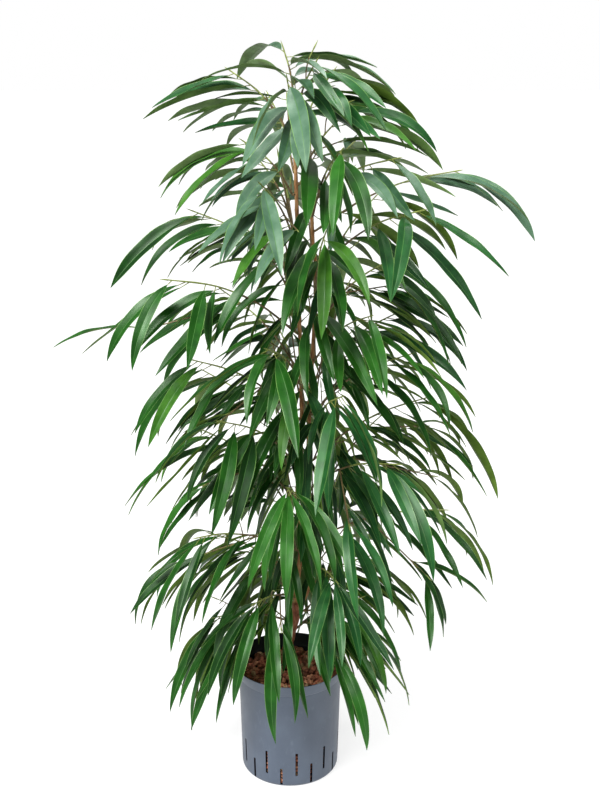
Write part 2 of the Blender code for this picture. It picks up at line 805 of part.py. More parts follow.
def main():
    remove_objects(bpy.data.objects)
    scene = bpy.context.scene
    plant = bpy.data.collections.new("alii ficus")
    cutters = bpy.data.collections.new("cutters")
    scene.collection.children.link(plant)
    scene.collection.children.link(cutters)

    plastic = principled("pot plastic", (0.14, 0.17, 0.24), 0.45)
    clay = principled("clay pebbles", (0.17, 0.06, 0.035), 0.9)
    bark = principled("bark", (0.23, 0.13, 0.07), 0.8)
    green = principled("leaf green", (0.05, 0.13, 0.04), 0.4)

    build_pot(plastic, plant, cutters)
    build_pebbles(random.Random(SEED), clay, plant)
    trunk = trunk_route()
    left_stem = stem_route(LEFT_POINTS)
    right_stem = stem_route(RIGHT_POINTS)
    for name, route in (("trunk", trunk), ("stem_left", left_stem), ("stem_right", right_stem)):
        add_object(name, tube(name, route), bark, plant)

    shoots = []
    for index in range(SHOOT_COUNT):
        height = mix(*SHOOT_HEIGHTS, index / (SHOOT_COUNT - 1))
        shoots.append(Shoot(f"foliage_{index + 1:02d}", index, height, FIRST_TURN + index * GOLDEN_ANGLE))
    top_left = left_stem[-1][0].z + LEADER_LENGTH / 2
    top_right = right_stem[-1][0].z
    shoots.append(Shoot("foliage_top_left", SHOOT_COUNT, top_left, math.pi, on_tip=True))
    shoots.append(Shoot("foliage_top_right", SHOOT_COUNT + 1, top_right, RIGHT_TIP_TURN, on_tip=True))
    placed = Placed([trunk, left_stem, right_stem])
    twigs = {}
    for shoot in shoots:
        low = shoot.height < right_stem[0][0].z
        right = math.cos(shoot.azimuth) > 0 and shoot.height < right_stem[-1][0].z + HEIGHT_JITTER
        limb = trunk if low else right_stem if right else left_stem
        twigs[shoot.name] = shoot_twigs(shoot, limb)
        placed.add(*tube_cage(twigs[shoot.name][0]), shoot.name)
    for shoot in shoots:
        main, *sides = twigs[shoot.name]
        kept = [route for route in sides if route_clear(route, shoot, shoots, placed)]
        for route in kept:
            placed.add(*tube_cage(route), shoot.name)
        twigs[shoot.name] = [main, *kept]
    section = triangle_profile()
    total = 0
    for shoot in shoots:
        leaves, grown = grow_leaves(shoot, shoots, twigs[shoot.name], placed)
        total += len(fuse(shoot.name, grown, leaves, section, green, plant))
    remove_objects([section])
    print(total, "leaves")


main()
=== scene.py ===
"""The looks of a potted alii ficus: fine leaves, twigs, bark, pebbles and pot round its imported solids."""

import json
import math
import random

import bmesh
import bpy
import numpy as np
from mathutils import Matrix, Vector, noise
from mathutils.bvhtree import BVHTree

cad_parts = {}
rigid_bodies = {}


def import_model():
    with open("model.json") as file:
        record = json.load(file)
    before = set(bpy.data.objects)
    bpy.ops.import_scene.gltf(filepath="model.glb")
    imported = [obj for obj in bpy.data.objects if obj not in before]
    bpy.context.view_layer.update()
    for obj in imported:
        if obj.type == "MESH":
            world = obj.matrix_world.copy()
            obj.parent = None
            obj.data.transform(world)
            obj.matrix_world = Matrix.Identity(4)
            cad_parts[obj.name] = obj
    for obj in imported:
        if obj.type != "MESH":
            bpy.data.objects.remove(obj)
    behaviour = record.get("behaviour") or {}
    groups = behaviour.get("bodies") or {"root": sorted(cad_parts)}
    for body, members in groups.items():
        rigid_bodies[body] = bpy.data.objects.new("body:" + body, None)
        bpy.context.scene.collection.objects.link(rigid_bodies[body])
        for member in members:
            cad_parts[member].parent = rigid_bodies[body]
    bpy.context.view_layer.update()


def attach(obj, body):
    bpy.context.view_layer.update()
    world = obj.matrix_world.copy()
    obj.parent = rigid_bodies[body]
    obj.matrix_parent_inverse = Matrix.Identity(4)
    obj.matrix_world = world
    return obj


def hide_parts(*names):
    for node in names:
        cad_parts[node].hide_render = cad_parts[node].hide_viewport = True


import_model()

# Picture: the frame is taken as 600 by 800, and the camera looks a little down on the plant.
IMAGE_LONG_SIDE = 800
FOCAL_PIXELS = 1466
CAMERA_PLACE = (0.0164, -2.10, 1.390)
CAMERA_PITCH = math.radians(70.28)

SEED = 13
GAP = 0.0003

# Pot: a culture pot 180 mm across the rim and 190 mm tall.
POT_HEIGHT = 0.190
RIM_RADIUS = 0.090
COLLAR_HEIGHT = 0.019
COLLAR_RADIUS = 0.0845
STEP_HEIGHT = 0.0015
BODY_RADIUS = 0.0828
FOOT_RADIUS = 0.0785
FOOT_BEVEL = 0.003
WALL = 0.0018
SLOT_COUNT = 20
SLOT_WIDTH = 0.004
LOW_SLOT = (0.004, 0.040)
SHORT_SLOT = (0.004, 0.034)
HIGH_SLOT = (0.021, 0.063)
SHORT_SLOT_INDEX = 14
SLOT_TURN = math.radians(3.5)

# Fill: the level of the pebbles, and how far they stand over it.
GROUND = 0.170
PEBBLE_BUMP = 0.0035

# Trunk and stems: centre points in metres, and radii at the foot, the fork and the tips.
FOOT = Vector((-0.006, 0.026, GROUND))
TRUNK_POINTS = (
    (-0.0055, 0.0255, 0.178),
    (-0.001, 0.020, 0.205),
    (0.005, 0.011, 0.240),
    (0.013, 0.002, 0.288),
)
TRUNK_RADII = (0.0095, 0.0072, 0.0062, 0.0059, 0.0088)
LEFT_POINTS = (
    (0.0085, 0.002, 0.289),
    (0.015, 0.003, 0.354),
    (0.018, 0.002, 0.401),
    (0.012, 0.004, 0.480),
    (0.019, 0.005, 0.588),
    (0.015, 0.002, 0.780),
    (0.011, 0.000, 0.960),
    (0.007, 0.001, 1.085),
)
RIGHT_POINTS = (
    (0.0175, 0.002, 0.289),
    (0.030, -0.001, 0.324),
    (0.032, -0.003, 0.401),
    (0.030, -0.002, 0.522),
    (0.0305, -0.003, 0.621),
    (0.040, 0.001, 0.810),
    (0.035, 0.003, 0.886),
    (0.033, 0.002, 0.935),
)
STEM_RADII = (0.0040, 0.0026)
STEM_STEP = 0.055

# Crown: its middle, and how far the tips reach to the left and right at each height.
MIDDLE = Vector((0.020, 0.0, 0.0))
CROWN_ROWS = (
    (0.05, 0.205, 0.195),
    (0.13, 0.222, 0.200),
    (0.24, 0.225, 0.200),
    (0.31, 0.320, 0.320),
    (0.40, 0.240, 0.350),
    (0.47, 0.290, 0.300),
    (0.56, 0.300, 0.290),
    (0.66, 0.245, 0.262),
    (0.72, 0.385, 0.245),
    (0.79, 0.290, 0.245),
    (0.85, 0.275, 0.360),
    (0.93, 0.200, 0.345),
    (0.99, 0.215, 0.215),
    (1.05, 0.240, 0.165),
    (1.11, 0.185, 0.160),
    (1.17, 0.095, 0.150),
)
DEPTH_SHARE = 0.92

# Shoots: each stands a little above the last one, and a golden angle further round. Where a
# value has several numbers, they are for heights evenly spaced from the lowest shoot up. Each
# side twig has the share of the shoot at which it leaves, and how much steeper it sets out.
SHOOT_COUNT = 50
SHOOT_HEIGHTS = (0.240, 1.060)
FIRST_TURN = math.radians(50)
GOLDEN_ANGLE = math.pi * (3 - math.sqrt(5))
TURN_JITTER = math.radians(8)
HEIGHT_JITTER = 0.008
TIP_DROP = (0.12, 0.05, 0.03, -0.01, -0.03)
LEAF_RUN = (0.60, 0.80, 0.85, 0.88)
SHOOT_RADIUS = 0.0017
TWIG_RADIUS = 0.0012
TIP_RADIUS = 0.0009
SEAT_LENGTH = 0.004
SHOOT_CLIMB = (0.0, 0.10, 0.105, 0.105, 0.08)
SHOOT_BEND = math.radians(18)
SHORTEST_SHOOT = 0.050
RUN_ALLOWANCE = 1.08
SHOOT_STEPS = 3
TWIG_STEPS = 1
SIDE_TWIGS = ((0.25, math.radians(52)), (0.55, math.radians(-46)))
TWIG_SHARE = 0.75
TWIG_SPREAD = math.radians(42)
LEADER_LENGTH = 0.072
RIGHT_TIP_TURN = math.radians(-35)
LEADER_PITCHES = (math.radians(90), math.radians(70))

# Leaves: narrow and folded, on short stalks, arching out and down.
LEAF_LENGTH = (0.150, 0.215)
LEAF_SLENDERNESS = 7.1
LEAF_FOLD = 0.20
LEAF_KEEL = 0.0010
STATIONS = (0.0, 0.36, 0.70, 1.0)
WIDTH_SHARES = (0.0, 1.0, 0.68, 0.0)
LEAF_START = tuple(map(math.radians, (-30, -18, -13, -6, 8)))
LEAF_END = tuple(map(math.radians, (-70, -60, -57, -50, -38)))
PITCH_JITTER = math.radians(18)
INNER_DROOP = math.radians(20)
FIRST_LEAF = 0.20
LAST_LEAF = 0.985
LEAVES_ON_SHOOT = 10
LEAVES_ON_TWIG = 6
LEAF_SPREAD = (math.radians(90), math.radians(25))
LEAF_TRIES = 16
ROLL_JITTER = math.radians(34)
SWEEP = 0.14
CLEARANCE = 0.0005
RIM_CLEARANCE = 0.008
TIP_ALLOWANCE = 1.04
LOWEST_TIP = 0.035

# Front gap: where the crown opens on the pot's mouth and few leaves hang.
FRONT_WIDTH = (-0.062, 0.050)
FRONT_RISE = (-0.010, 0.062)
FRONT_SLOPE = 0.577
FRONT_SHARE = 0.12

# Own space: the crown unrolled at this radius, along the arch that shoots and leaves follow.
UNROLLED_RADIUS = 0.15
ARCH_RISE = 0.9
ARCH_FALL = (1.6, 1.0, 0.85, 0.75)
SPACE_MARGIN = 0.0015
SHARED_RADIUS = 0.09

# Cages: how many corners stand round a twig or limb, and how far out, as a share of its radius.
TWIG_CORNERS = 3
TWIG_SWELL = 1.5
LIMB_CORNERS = 8
LIMB_SWELL = 1.1

# Fine leaf: a stalk, then a folded blade with a midrib and a pale margin.
STALK_SHARE = 0.07
STALK_RADIUS = 0.0008
STALK_SIDES = 5
BLADE_STEPS = 24
BLADE_THICKNESS = 0.0005
BLADE_WIDEST = 0.42
BLADE_FLATNESS = 2.5
BLADE_POINT = 1.05
BLADE_BREADTH = (0.72, 1.02)
MIDRIB = 0.035
MARGIN = 0.94
BLADE_FOLD = (0.26, 0.52)
BLADE_RIPPLE = 0.0009
BLADE_TWIST = 0.5

# Finer growth: more leaves between the first ones, twigs rounded and budded.
FINE_TWIGS = ((0.40, math.radians(-30)), (0.72, math.radians(35)))
FINE_LENGTH = (0.035, 0.060)
FINE_RADII = (0.0010, 0.0007)
FILL_ON_SHOOT = 5
FILL_ON_TWIG = 3
FILL_ON_FINE = 3
FILL_SCALE = (0.65, 1.0)
FILL_TOP = 0.72
OLD_SHARE = (0.75, 0.15)
YOUNG_RISE = 0.16
YOUNG_TIP = 0.12
TWIG_SIDES = 7
TWIG_SMOOTHING = 5
NODE_SPACING = 0.022
NODE_SWELL = 0.28
BUD_LENGTH = (0.010, 0.019)
BUD_RADIUS = 0.0011

# Bark: rings along the limb, points round it, and the depth of its relief.
BARK_STEP = 0.0016
TRUNK_SIDES = 36
STEM_SIDES = 20
TRUNK_RELIEF = 0.0007
STEM_RELIEF = 0.00032
SCAR_SPACING = 0.024
SCAR_HEIGHT = 0.0004

# Pebbles: burst clay balls, a loose layer on top and a few behind each slot.
PEBBLE_RADIUS = (0.0038, 0.0066)
PEBBLE_SPACING = 0.0078
PEBBLE_LAYERS = 2
PEBBLE_DETAIL = 2

PIECE_LIMIT = 190000


def linear(hex_colour):
    """An sRGB hex colour as linear red, green, blue and alpha."""
    parts = [int(hex_colour[index : index + 2], 16) / 255 for index in (1, 3, 5)]
    values = [part / 12.92 if part <= 0.04045 else ((part + 0.055) / 1.055) ** 2.4 for part in parts]
    return (*values, 1.0)


def add_node(tree, kind, settings=None, links=None):
    """A node with its settings; a link gives an input a value or another node's output."""
    node = tree.nodes.new(kind)
    for name, value in (settings or {}).items():
        setattr(node, name, value)
    for name, value in (links or {}).items():
        if isinstance(value, bpy.types.NodeSocket):
            tree.links.new(value, node.inputs[name])
        else:
            node.inputs[name].default_value = value
    return node


def new_material(name, roughness, **sockets):
    """A Principled material with its constant values, its tree and its shader."""
    material = bpy.data.materials.new(name)
    material.use_nodes = True
    shader = material.node_tree.nodes["Principled BSDF"]
    shader.inputs["Roughness"].default_value = roughness
    for socket, value in sockets.items():
        shader.inputs[socket.replace("_", " ")].default_value = value
    return material, material.node_tree, shader


def colour_ramp(tree, factor, stops):
    """A ramp through hex colours, each at its place."""
    ramp = add_node(tree, "ShaderNodeValToRGB", None, {"Fac": factor})
    elements = ramp.color_ramp.elements
    while len(elements) < len(stops):
        elements.new(0.5)
    for element, (place, colour) in zip(elements, stops):
        element.position = place
        element.color = linear(colour)
    return ramp.outputs["Color"]


def object_noise(tree, size_mm, detail=3.0, stretch=(1, 1, 1)):
    """Noise in the object's own space whose features are about size_mm across."""
    place = add_node(tree, "ShaderNodeTexCoord")
    scaled = add_node(tree, "ShaderNodeMapping", None, {"Vector": place.outputs["Object"], "Scale": stretch})
    made = add_node(
        tree,
        "ShaderNodeTexNoise",
        None,
        {"Vector": scaled.outputs["Vector"], "Scale": 1000 / size_mm, "Detail": detail},
    )
    return made.outputs["Fac"]


def add_relief(tree, shader, height, depth_mm):
    bump = add_node(tree, "ShaderNodeBump", None, {"Height": height, "Distance": depth_mm / 1000})
    tree.links.new(bump.outputs["Normal"], shader.inputs["Normal"])


def leaf_face(name, shade, light, roughness, specular):
    """Fig leaf: a waxed, leathery blade, whose broad soft sheen is broken by a faint cloudiness."""
    sheen = {"Specular_IOR_Level": specular, "Specular_Tint": linear("#c6dcc0")}
    material, tree, shader = new_material(name, roughness, **sheen)
    cloud = object_noise(tree, 22)
    colour = colour_ramp(tree, cloud, ((0.36, shade), (0.66, light)))
    tree.links.new(colour, shader.inputs["Base Color"])
    add_relief(tree, shader, object_noise(tree, 1.6, 2.0), 0.10)
    return material


def leaf_trim(name, shade, light, roughness):
    """A leaf's midrib, margin or stalk: smoother and paler than the blade, faintly mottled."""
    material, tree, shader = new_material(name, roughness)
    mottle = object_noise(tree, 9)
    colour = colour_ramp(tree, mottle, ((0.36, shade), (0.66, light)))
    tree.links.new(colour, shader.inputs["Base Color"])
    add_relief(tree, shader, object_noise(tree, 1.2, 2.0), 0.05)
    return material


def twig_skin(name, shade, light, roughness):
    """Young fig twig: smooth skin with faint long streaks."""
    material, tree, shader = new_material(name, roughness)
    streak = object_noise(tree, 3, 3.0, (1, 1, 0.3))
    colour = colour_ramp(tree, streak, ((0.35, shade), (0.65, light)))
    tree.links.new(colour, shader.inputs["Base Color"])
    add_relief(tree, shader, streak, 0.15)
    return material


def mix(low, high, share):
    return low + (high - low) * share


def graded(values, share):
    """The value at a share of the way through evenly spaced values."""
    position = min(max(share, 0), 1) * (len(values) - 1)
    index = min(int(position), len(values) - 2)
    return mix(values[index], values[index + 1], position - index)


def smooth_point(points, position):
    """A point on the smooth curve through all the points; position runs from 0 to their last index."""
    last = len(points) - 1
    index = min(int(position), last - 1)
    t = position - index
    before = Vector(points[max(index - 1, 0)])
    start = Vector(points[index])
    end = Vector(points[index + 1])
    after = Vector(points[min(index + 2, last)])
    return 0.5 * (
        2 * start
        + (end - before) * t
        + (2 * before - 5 * start + 4 * end - after) * t**2
        + (3 * start - before - 3 * end + after) * t**3
    )


def stem_route(points):
    """Points along a stem, one every STEM_STEP or so, each with its radius. It sets out upright."""
    steps = round((points[-1][2] - points[0][2]) / STEM_STEP)
    last = len(points) - 1
    route = [smooth_point(points, last * step / steps) for step in range(steps + 1)]
    route.insert(1, route[0] + Vector((0, 0, SEAT_LENGTH)))
    return [(point, mix(*STEM_RADII, step / (steps + 1))) for step, point in enumerate(route)]


def trunk_route():
    """The trunk from its flat foot, upright at first so that the cut is level, to the fork."""
    points = [FOOT + Vector((0, 0, GAP)), *(Vector(point) for point in TRUNK_POINTS)]
    points.insert(1, points[0] + Vector((0, 0, 0.003)))
    radii = [TRUNK_RADII[0], *TRUNK_RADII]
    points.append(points[-1] + Vector((0, 0, 0.0005)))
    radii.append(radii[-1])
    return list(zip(points, radii))


def reach(azimuth, height):
    """How far the crown's tips stand from its middle, towards an azimuth and at a height."""
    rows = CROWN_ROWS
    index = 0
    while index < len(rows) - 2 and rows[index + 1][0] < height:
        index += 1
    low, high = rows[index], rows[index + 1]
    share = min(max((height - low[0]) / (high[0] - low[0]), 0), 1)
    left = mix(low[1], high[1], share)
    right = mix(low[2], high[2], share)
    side = math.cos(azimuth)
    width = mix(left, right, (1 + side) / 2)
    return width * mix(DEPTH_SHARE, 1, abs(side))


def drape_height(point):
    """The height on the stems from which an arching shoot or leaf would come to this point."""
    offset = point - MIDDLE
    out = offset.to_2d().length
    edge = reach(math.atan2(offset.y, offset.x), point.z)
    share = min(max((point.z - SHOOT_HEIGHTS[0]) / (SHOOT_HEIGHTS[1] - SHOOT_HEIGHTS[0]), 0), 1)
    return point.z - ARCH_RISE * out + graded(ARCH_FALL, share) * out**2 / edge


class Shoot:
    """One shoot: where it leaves its stem, which way it goes and how high in the crown it is."""

    def __init__(self, name, index, height, azimuth, on_tip=False):
        self.name = name
        self.number = index
        self.rng = random.Random(SEED * 1000 + index)
        self.height = height + self.rng.uniform(-1, 1) * HEIGHT_JITTER
        self.azimuth = azimuth + self.rng.uniform(-1, 1) * TURN_JITTER
        self.share = (height - SHOOT_HEIGHTS[0]) / (SHOOT_HEIGHTS[1] - SHOOT_HEIGHTS[0])
        self.on_tip = on_tip
        self.leader = on_tip and self.share > 1


def space_distance(azimuth, drape, shoot):
    """How far a point of the unrolled crown lies from a shoot's own line."""
    turn = 0 if shoot.leader else (azimuth - shoot.azimuth + math.pi) % (2 * math.pi) - math.pi
    return math.hypot(UNROLLED_RADIUS * turn, drape - shoot.height)


def in_own_space(points, shoot, shoots):
    """Whether the points are nearer to this shoot's line than to any other's."""
    for point in points:
        offset = point - MIDDLE
        if offset.to_2d().length < SHARED_RADIUS:
            continue
        azimuth = math.atan2(offset.y, offset.x)
        drape = drape_height(point)
        own = space_distance(azimuth, drape, shoot) + SPACE_MARGIN
        if any(space_distance(azimuth, drape, other) < own for other in shoots if other is not shoot):
            return False
    return True


def unit_leaf():
    """A leaf's faces, and for each point the number of its ring and its corner of the section."""
    bm = bmesh.new()
    rings = len(STATIONS) - 1
    bmesh.ops.create_uvsphere(bm, u_segments=3, v_segments=rings, radius=1)
    marks = []
    for vertex in bm.verts:
        ring = round(math.acos(max(-1, min(1, vertex.co.z))) / math.pi * rings)
        corner = round(math.atan2(vertex.co.y, vertex.co.x) / (2 * math.pi / 3)) % 3
        marks.append((ring, corner))
    faces = [[vertex.index for vertex in face.verts] for face in bm.faces]
    bm.free()
    return marks, faces


LEAF_MARKS, LEAF_FACES = unit_leaf()


class Leaf:
    """One leaf: its root, heading and size, and how it arches."""

    def __init__(self, root, heading, length, start, end, roll, sweep):
        self.root = root
        self.heading = heading
        self.length = length
        self.start = start
        self.end = end
        self.roll = roll
        self.sweep = sweep

    def spine(self, t):
        """The point at share t of the length, and the directions along, across and up there."""
        bend = self.end - self.start
        pitch = self.start + bend * t
        run = self.length * (math.sin(pitch) - math.sin(self.start)) / bend
        rise = self.length * (math.cos(self.start) - math.cos(pitch)) / bend
        ahead = Vector((math.cos(self.heading), math.sin(self.heading), 0))
        side = Vector((-ahead.y, ahead.x, 0))
        up = Vector((0, 0, 1))
        point = self.root + ahead * run + up * rise + side * (self.sweep * self.length * t**2)
        over = up * math.cos(pitch) - ahead * math.sin(pitch)
        across = side * math.cos(self.roll) + over * math.sin(self.roll)
        normal = over * math.cos(self.roll) - side * math.sin(self.roll)
        return point, across, normal

    def points(self, swell=0.0):
        """The solid's corners, swollen on all sides by a clearance."""
        half = self.length / LEAF_SLENDERNESS / 2
        rings = [self.spine(t) for t in STATIONS]
        corners = []
        for ring, corner in LEAF_MARKS:
            point, across, normal = rings[ring]
            if ring in (0, len(STATIONS) - 1):
                corners.append(point)
                continue
            wide = half * WIDTH_SHARES[ring]
            if corner == 2:
                corners.append(point - normal * (LEAF_KEEL + swell))
            else:
                sign = 1 if corner == 0 else -1
                lift = wide * LEAF_FOLD + swell
                corners.append(point + across * sign * (wide + swell) + normal * lift)
        return corners


class Placed:
    """Everything that has been placed so far, to keep new twigs and leaves clear of it."""

    def __init__(self, limbs):
        self.limbs = limbs
        self.lows = np.empty((0, 3))
        self.highs = np.empty((0, 3))
        self.trees = []
        self.owners = []
        for route in limbs:
            self.add(*tube_cage(route, LIMB_CORNERS, LIMB_SWELL), "limb")

    def add(self, points, faces, owner):
        self.lows = np.vstack([self.lows, np.min(points, axis=0)])
        self.highs = np.vstack([self.highs, np.max(points, axis=0)])
        self.trees.append(BVHTree.FromPolygons(points, faces))
        self.owners.append(owner)

    def touches(self, points, faces, own_twigs):
        low = np.min(points, axis=0)
        high = np.max(points, axis=0)
        near = np.all((self.lows <= high) & (self.highs >= low), axis=1)
        tree = BVHTree.FromPolygons(points, faces)
        return any(self.owners[i] != own_twigs and tree.overlap(self.trees[i]) for i in np.nonzero(near)[0])


def clear_of_limbs(points, limbs):
    """Whether the points stay outside every limb."""
    for point in points:
        for route in limbs:
            for (start, radius), (end, _) in zip(route, route[1:]):
                along = end - start
                t = max(0, min(1, (point - start).dot(along) / along.length_squared))
                if (point - start - along * t).length < radius + CLEARANCE:
                    return False
    return True


def clear_of_pot(points):
    """Whether the points are all outside the pot, or all inside it over the pebbles."""
    inside = []
    for point in points:
        if point.z > POT_HEIGHT + RIM_CLEARANCE:
            continue
        out = point.to_2d().length
        if RIM_RADIUS - 2 * RIM_CLEARANCE < out < RIM_RADIUS + RIM_CLEARANCE:
            return False
        if out < RIM_RADIUS and point.z < GROUND + PEBBLE_BUMP + CLEARANCE:
            return False
        inside.append(out < RIM_RADIUS)
    return len(set(inside)) < 2


def in_front_gap(points):
    """Whether a leaf hangs in the slanting gap between the crown and the pot's mouth."""
    for point in points:
        rise = point.z - GROUND + FRONT_SLOPE * point.y
        if point.y < 0 and FRONT_WIDTH[0] < point.x < FRONT_WIDTH[1] and FRONT_RISE[0] < rise < FRONT_RISE[1]:
            return True
    return False


def seat_on_limb(route, height, out):
    """Where a shoot's end sits just clear of a limb's side, which may lean or widen past it."""
    for (start, radius), (end, end_radius) in zip(route, route[1:]):
        if height <= end.z or end is route[-1][0]:
            rise = end.z - start.z
            share = min((height - start.z) / rise, 1)
            lean = abs((end - start).dot(out)) + abs(end_radius - radius)
            clear = mix(radius, end_radius, share) + GAP + SHOOT_RADIUS * lean / rise
            return start.lerp(end, share) + out * clear


def arching_route(start, azimuth, length, pitches, radii, drift, steps=SHOOT_STEPS):
    """Points and radii along a twig that sets out at one pitch and ends at another."""
    route = [(start, radii[0])]
    point = start.copy()
    for step in range(1, steps + 1):
        share = step / steps
        pitch = mix(*pitches, share - 0.5 / steps)
        heading = azimuth + drift * share
        ahead = Vector((math.cos(heading), math.sin(heading), 0)) * math.cos(pitch)
        point = point + (ahead + Vector((0, 0, math.sin(pitch)))) * (length / steps)
        route.append((point, mix(*radii, share)))
    return route


def along_route(route, share):
    """The point at a share of the route."""
    position = share * (len(route) - 1)
    index = min(int(position), len(route) - 2)
    return route[index][0].lerp(route[index + 1][0], position - index)


def cut_back(route, share):
    """The route up to a share of its length, just past the last leaf there."""
    end = min(share + 1 - LAST_LEAF, 1) * (len(route) - 1)
    kept = [pair for index, pair in enumerate(route) if index < end - 0.05]
    radius = max(kept[-1][1] * 0.8, TIP_RADIUS)
    return kept + [(along_route(route, end / (len(route) - 1)), radius)]


def heading_of(route, share):
    index = min(int(share * (len(route) - 1)), len(route) - 2)
    step = route[index + 1][0] - route[index][0]
    return math.atan2(step.y, step.x), math.atan2(step.z, step.to_2d().length)


def shoot_twigs(shoot, limb):
    """The shoot's own twig and the side twigs on it, as routes."""
    rng = shoot.rng
    share = shoot.share
    if shoot.on_tip:
        out = (limb[-1][0] - limb[-2][0]).normalized()
        start = limb[-1][0] + out * GAP
    else:
        out = Vector((math.cos(shoot.azimuth), math.sin(shoot.azimuth), 0))
        start = seat_on_limb(limb, shoot.height, out)
    first = start + out * SEAT_LENGTH
    if shoot.leader:
        radii = (SHOOT_RADIUS, TIP_RADIUS)
        return [arching_route(start, shoot.azimuth, LEADER_LENGTH, LEADER_PITCHES, radii, 0)]
    goal = reach(shoot.azimuth, shoot.height - graded(TIP_DROP, share))
    run = max(goal * RUN_ALLOWANCE - graded(LEAF_RUN, share) * mix(*LEAF_LENGTH, 0.5), SHORTEST_SHOOT)
    climb = math.atan2(graded(SHOOT_CLIMB, share), run) + rng.uniform(-0.1, 0.1)
    pitches = (climb + SHOOT_BEND, climb - SHOOT_BEND)
    length = run / math.cos(climb)
    drift = rng.uniform(-0.15, 0.15)
    main = arching_route(first, shoot.azimuth, length, pitches, (SHOOT_RADIUS, TIP_RADIUS), drift)
    main.insert(0, (start, SHOOT_RADIUS))
    twigs = [main]
    side = rng.choice((-1, 1))
    for fraction, lift in SIDE_TWIGS:
        side = -side
        heading, pitch = heading_of(main, fraction)
        begin = along_route(main, fraction)
        spread = side * TWIG_SPREAD * rng.uniform(0.8, 1.2)
        size = length * TWIG_SHARE * rng.uniform(0.8, 1.1)
        rise = (pitch + lift, climb - SHOOT_BEND + lift / 2)
        twigs.append(arching_route(begin, heading + spread, size, rise, (TWIG_RADIUS, TIP_RADIUS), 0, TWIG_STEPS))
    return twigs


def route_clear(route, shoot, shoots, placed):
    """Whether a side twig keeps to the shoot's own space and clear of all that is placed."""
    points = [along_route(route, step / 6) for step in range(2, 7)]
    if not in_own_space(points, shoot, shoots) or placed.touches(*tube_cage(route), shoot.name):
        return False
    return clear_of_limbs(points, placed.limbs) and clear_of_pot(points)


def tube_cage(route, corners=TWIG_CORNERS, swell=TWIG_SWELL):
    """A cage of faces round a route, to test what would touch it."""
    points, faces = [], []
    for index, (point, radius) in enumerate(route):
        for corner in range(corners):
            angle = corner * 2 * math.pi / corners
            spread = Vector((math.cos(angle), math.sin(angle), 0)) * (radius * swell + CLEARANCE)
            points.append(point + spread)
            if index:
                here = corners * index
                turn = (corner + 1) % corners
                faces.append((here - corners + corner, here - corners + turn, here + turn, here + corner))
    return points, faces


def grow_leaves(shoot, shoots, twigs, placed):
    """The shoot's leaves, and its twigs cut back to their outermost leaves."""
    rng = shoot.rng
    leaves = []
    grown = []
    for number, route in enumerate(twigs):
        count = LEAVES_ON_TWIG if number else LEAVES_ON_SHOOT
        side = rng.choice((-1, 1))
        end = 0
        for place in range(count):
            side = -side
            share = mix(FIRST_LEAF, LAST_LEAF, place / (count - 1))
            leaf = try_leaf(shoot, shoots, route, share, side, placed)
            if leaf:
                end = share
                leaves.append((leaf, share))
                placed.add(leaf.points(), LEAF_FACES, shoot.name + " leaf")
        grown.append((route, end))
    main, end = grown[0]
    sides = [(route, cut) for route, cut in grown[1:] if cut > 0]
    if sides:
        end = max(end, SIDE_TWIGS[-1][0])
    return leaves, [cut_back(main, end)] + [cut_back(route, cut) for route, cut in sides]


def try_leaf(shoot, shoots, route, share, side, placed, rng=None, scale=1.0, front_share=FRONT_SHARE):
    """A leaf at a share of a twig that keeps to the rule, or None after so many tries."""
    rng = rng or shoot.rng
    root = along_route(route, share)
    heading, _ = heading_of(route, share)
    for attempt in range(LEAF_TRIES):
        loose = 1 + attempt / LEAF_TRIES
        if shoot.leader:
            turn = rng.uniform(-math.pi, math.pi)
        else:
            turn = side * mix(*LEAF_SPREAD, share) * rng.uniform(0.3, 1.15) + rng.uniform(-0.2, 0.2) * loose
        length = rng.uniform(*LEAF_LENGTH) * mix(1.0, 0.9, shoot.share) * (1 - 0.25 * attempt / LEAF_TRIES) * scale
        droop = 0 if shoot.leader else INNER_DROOP * (1 - share)
        start = graded(LEAF_START, shoot.share) - droop + rng.uniform(-1, 1) * PITCH_JITTER * loose
        end = graded(LEAF_END, shoot.share) - droop / 2 + rng.uniform(-1, 1) * PITCH_JITTER * loose
        roll = rng.uniform(-1, 1) * ROLL_JITTER
        sweep = rng.uniform(-1, 1) * SWEEP
        leaf = Leaf(root, heading + turn, length, start, end, roll, sweep)
        tip, _, _ = leaf.spine(1.0)
        offset = tip - MIDDLE
        outline = reach(math.atan2(offset.y, offset.x), tip.z)
        if offset.to_2d().length > outline * TIP_ALLOWANCE or tip.z < LOWEST_TIP:
            continue
        spine = [leaf.spine(step / 12)[0] for step in range(1, 13)]
        if not in_own_space(spine[3::2], shoot, shoots):
            continue
        if in_front_gap(spine) and rng.random() > front_share:
            continue
        points = leaf.points(CLEARANCE)
        if not clear_of_limbs(spine + points[3:], placed.limbs) or not clear_of_pot(spine + points):
            continue
        if placed.touches(points, LEAF_FACES, shoot.name):
            continue
        return leaf
    return None


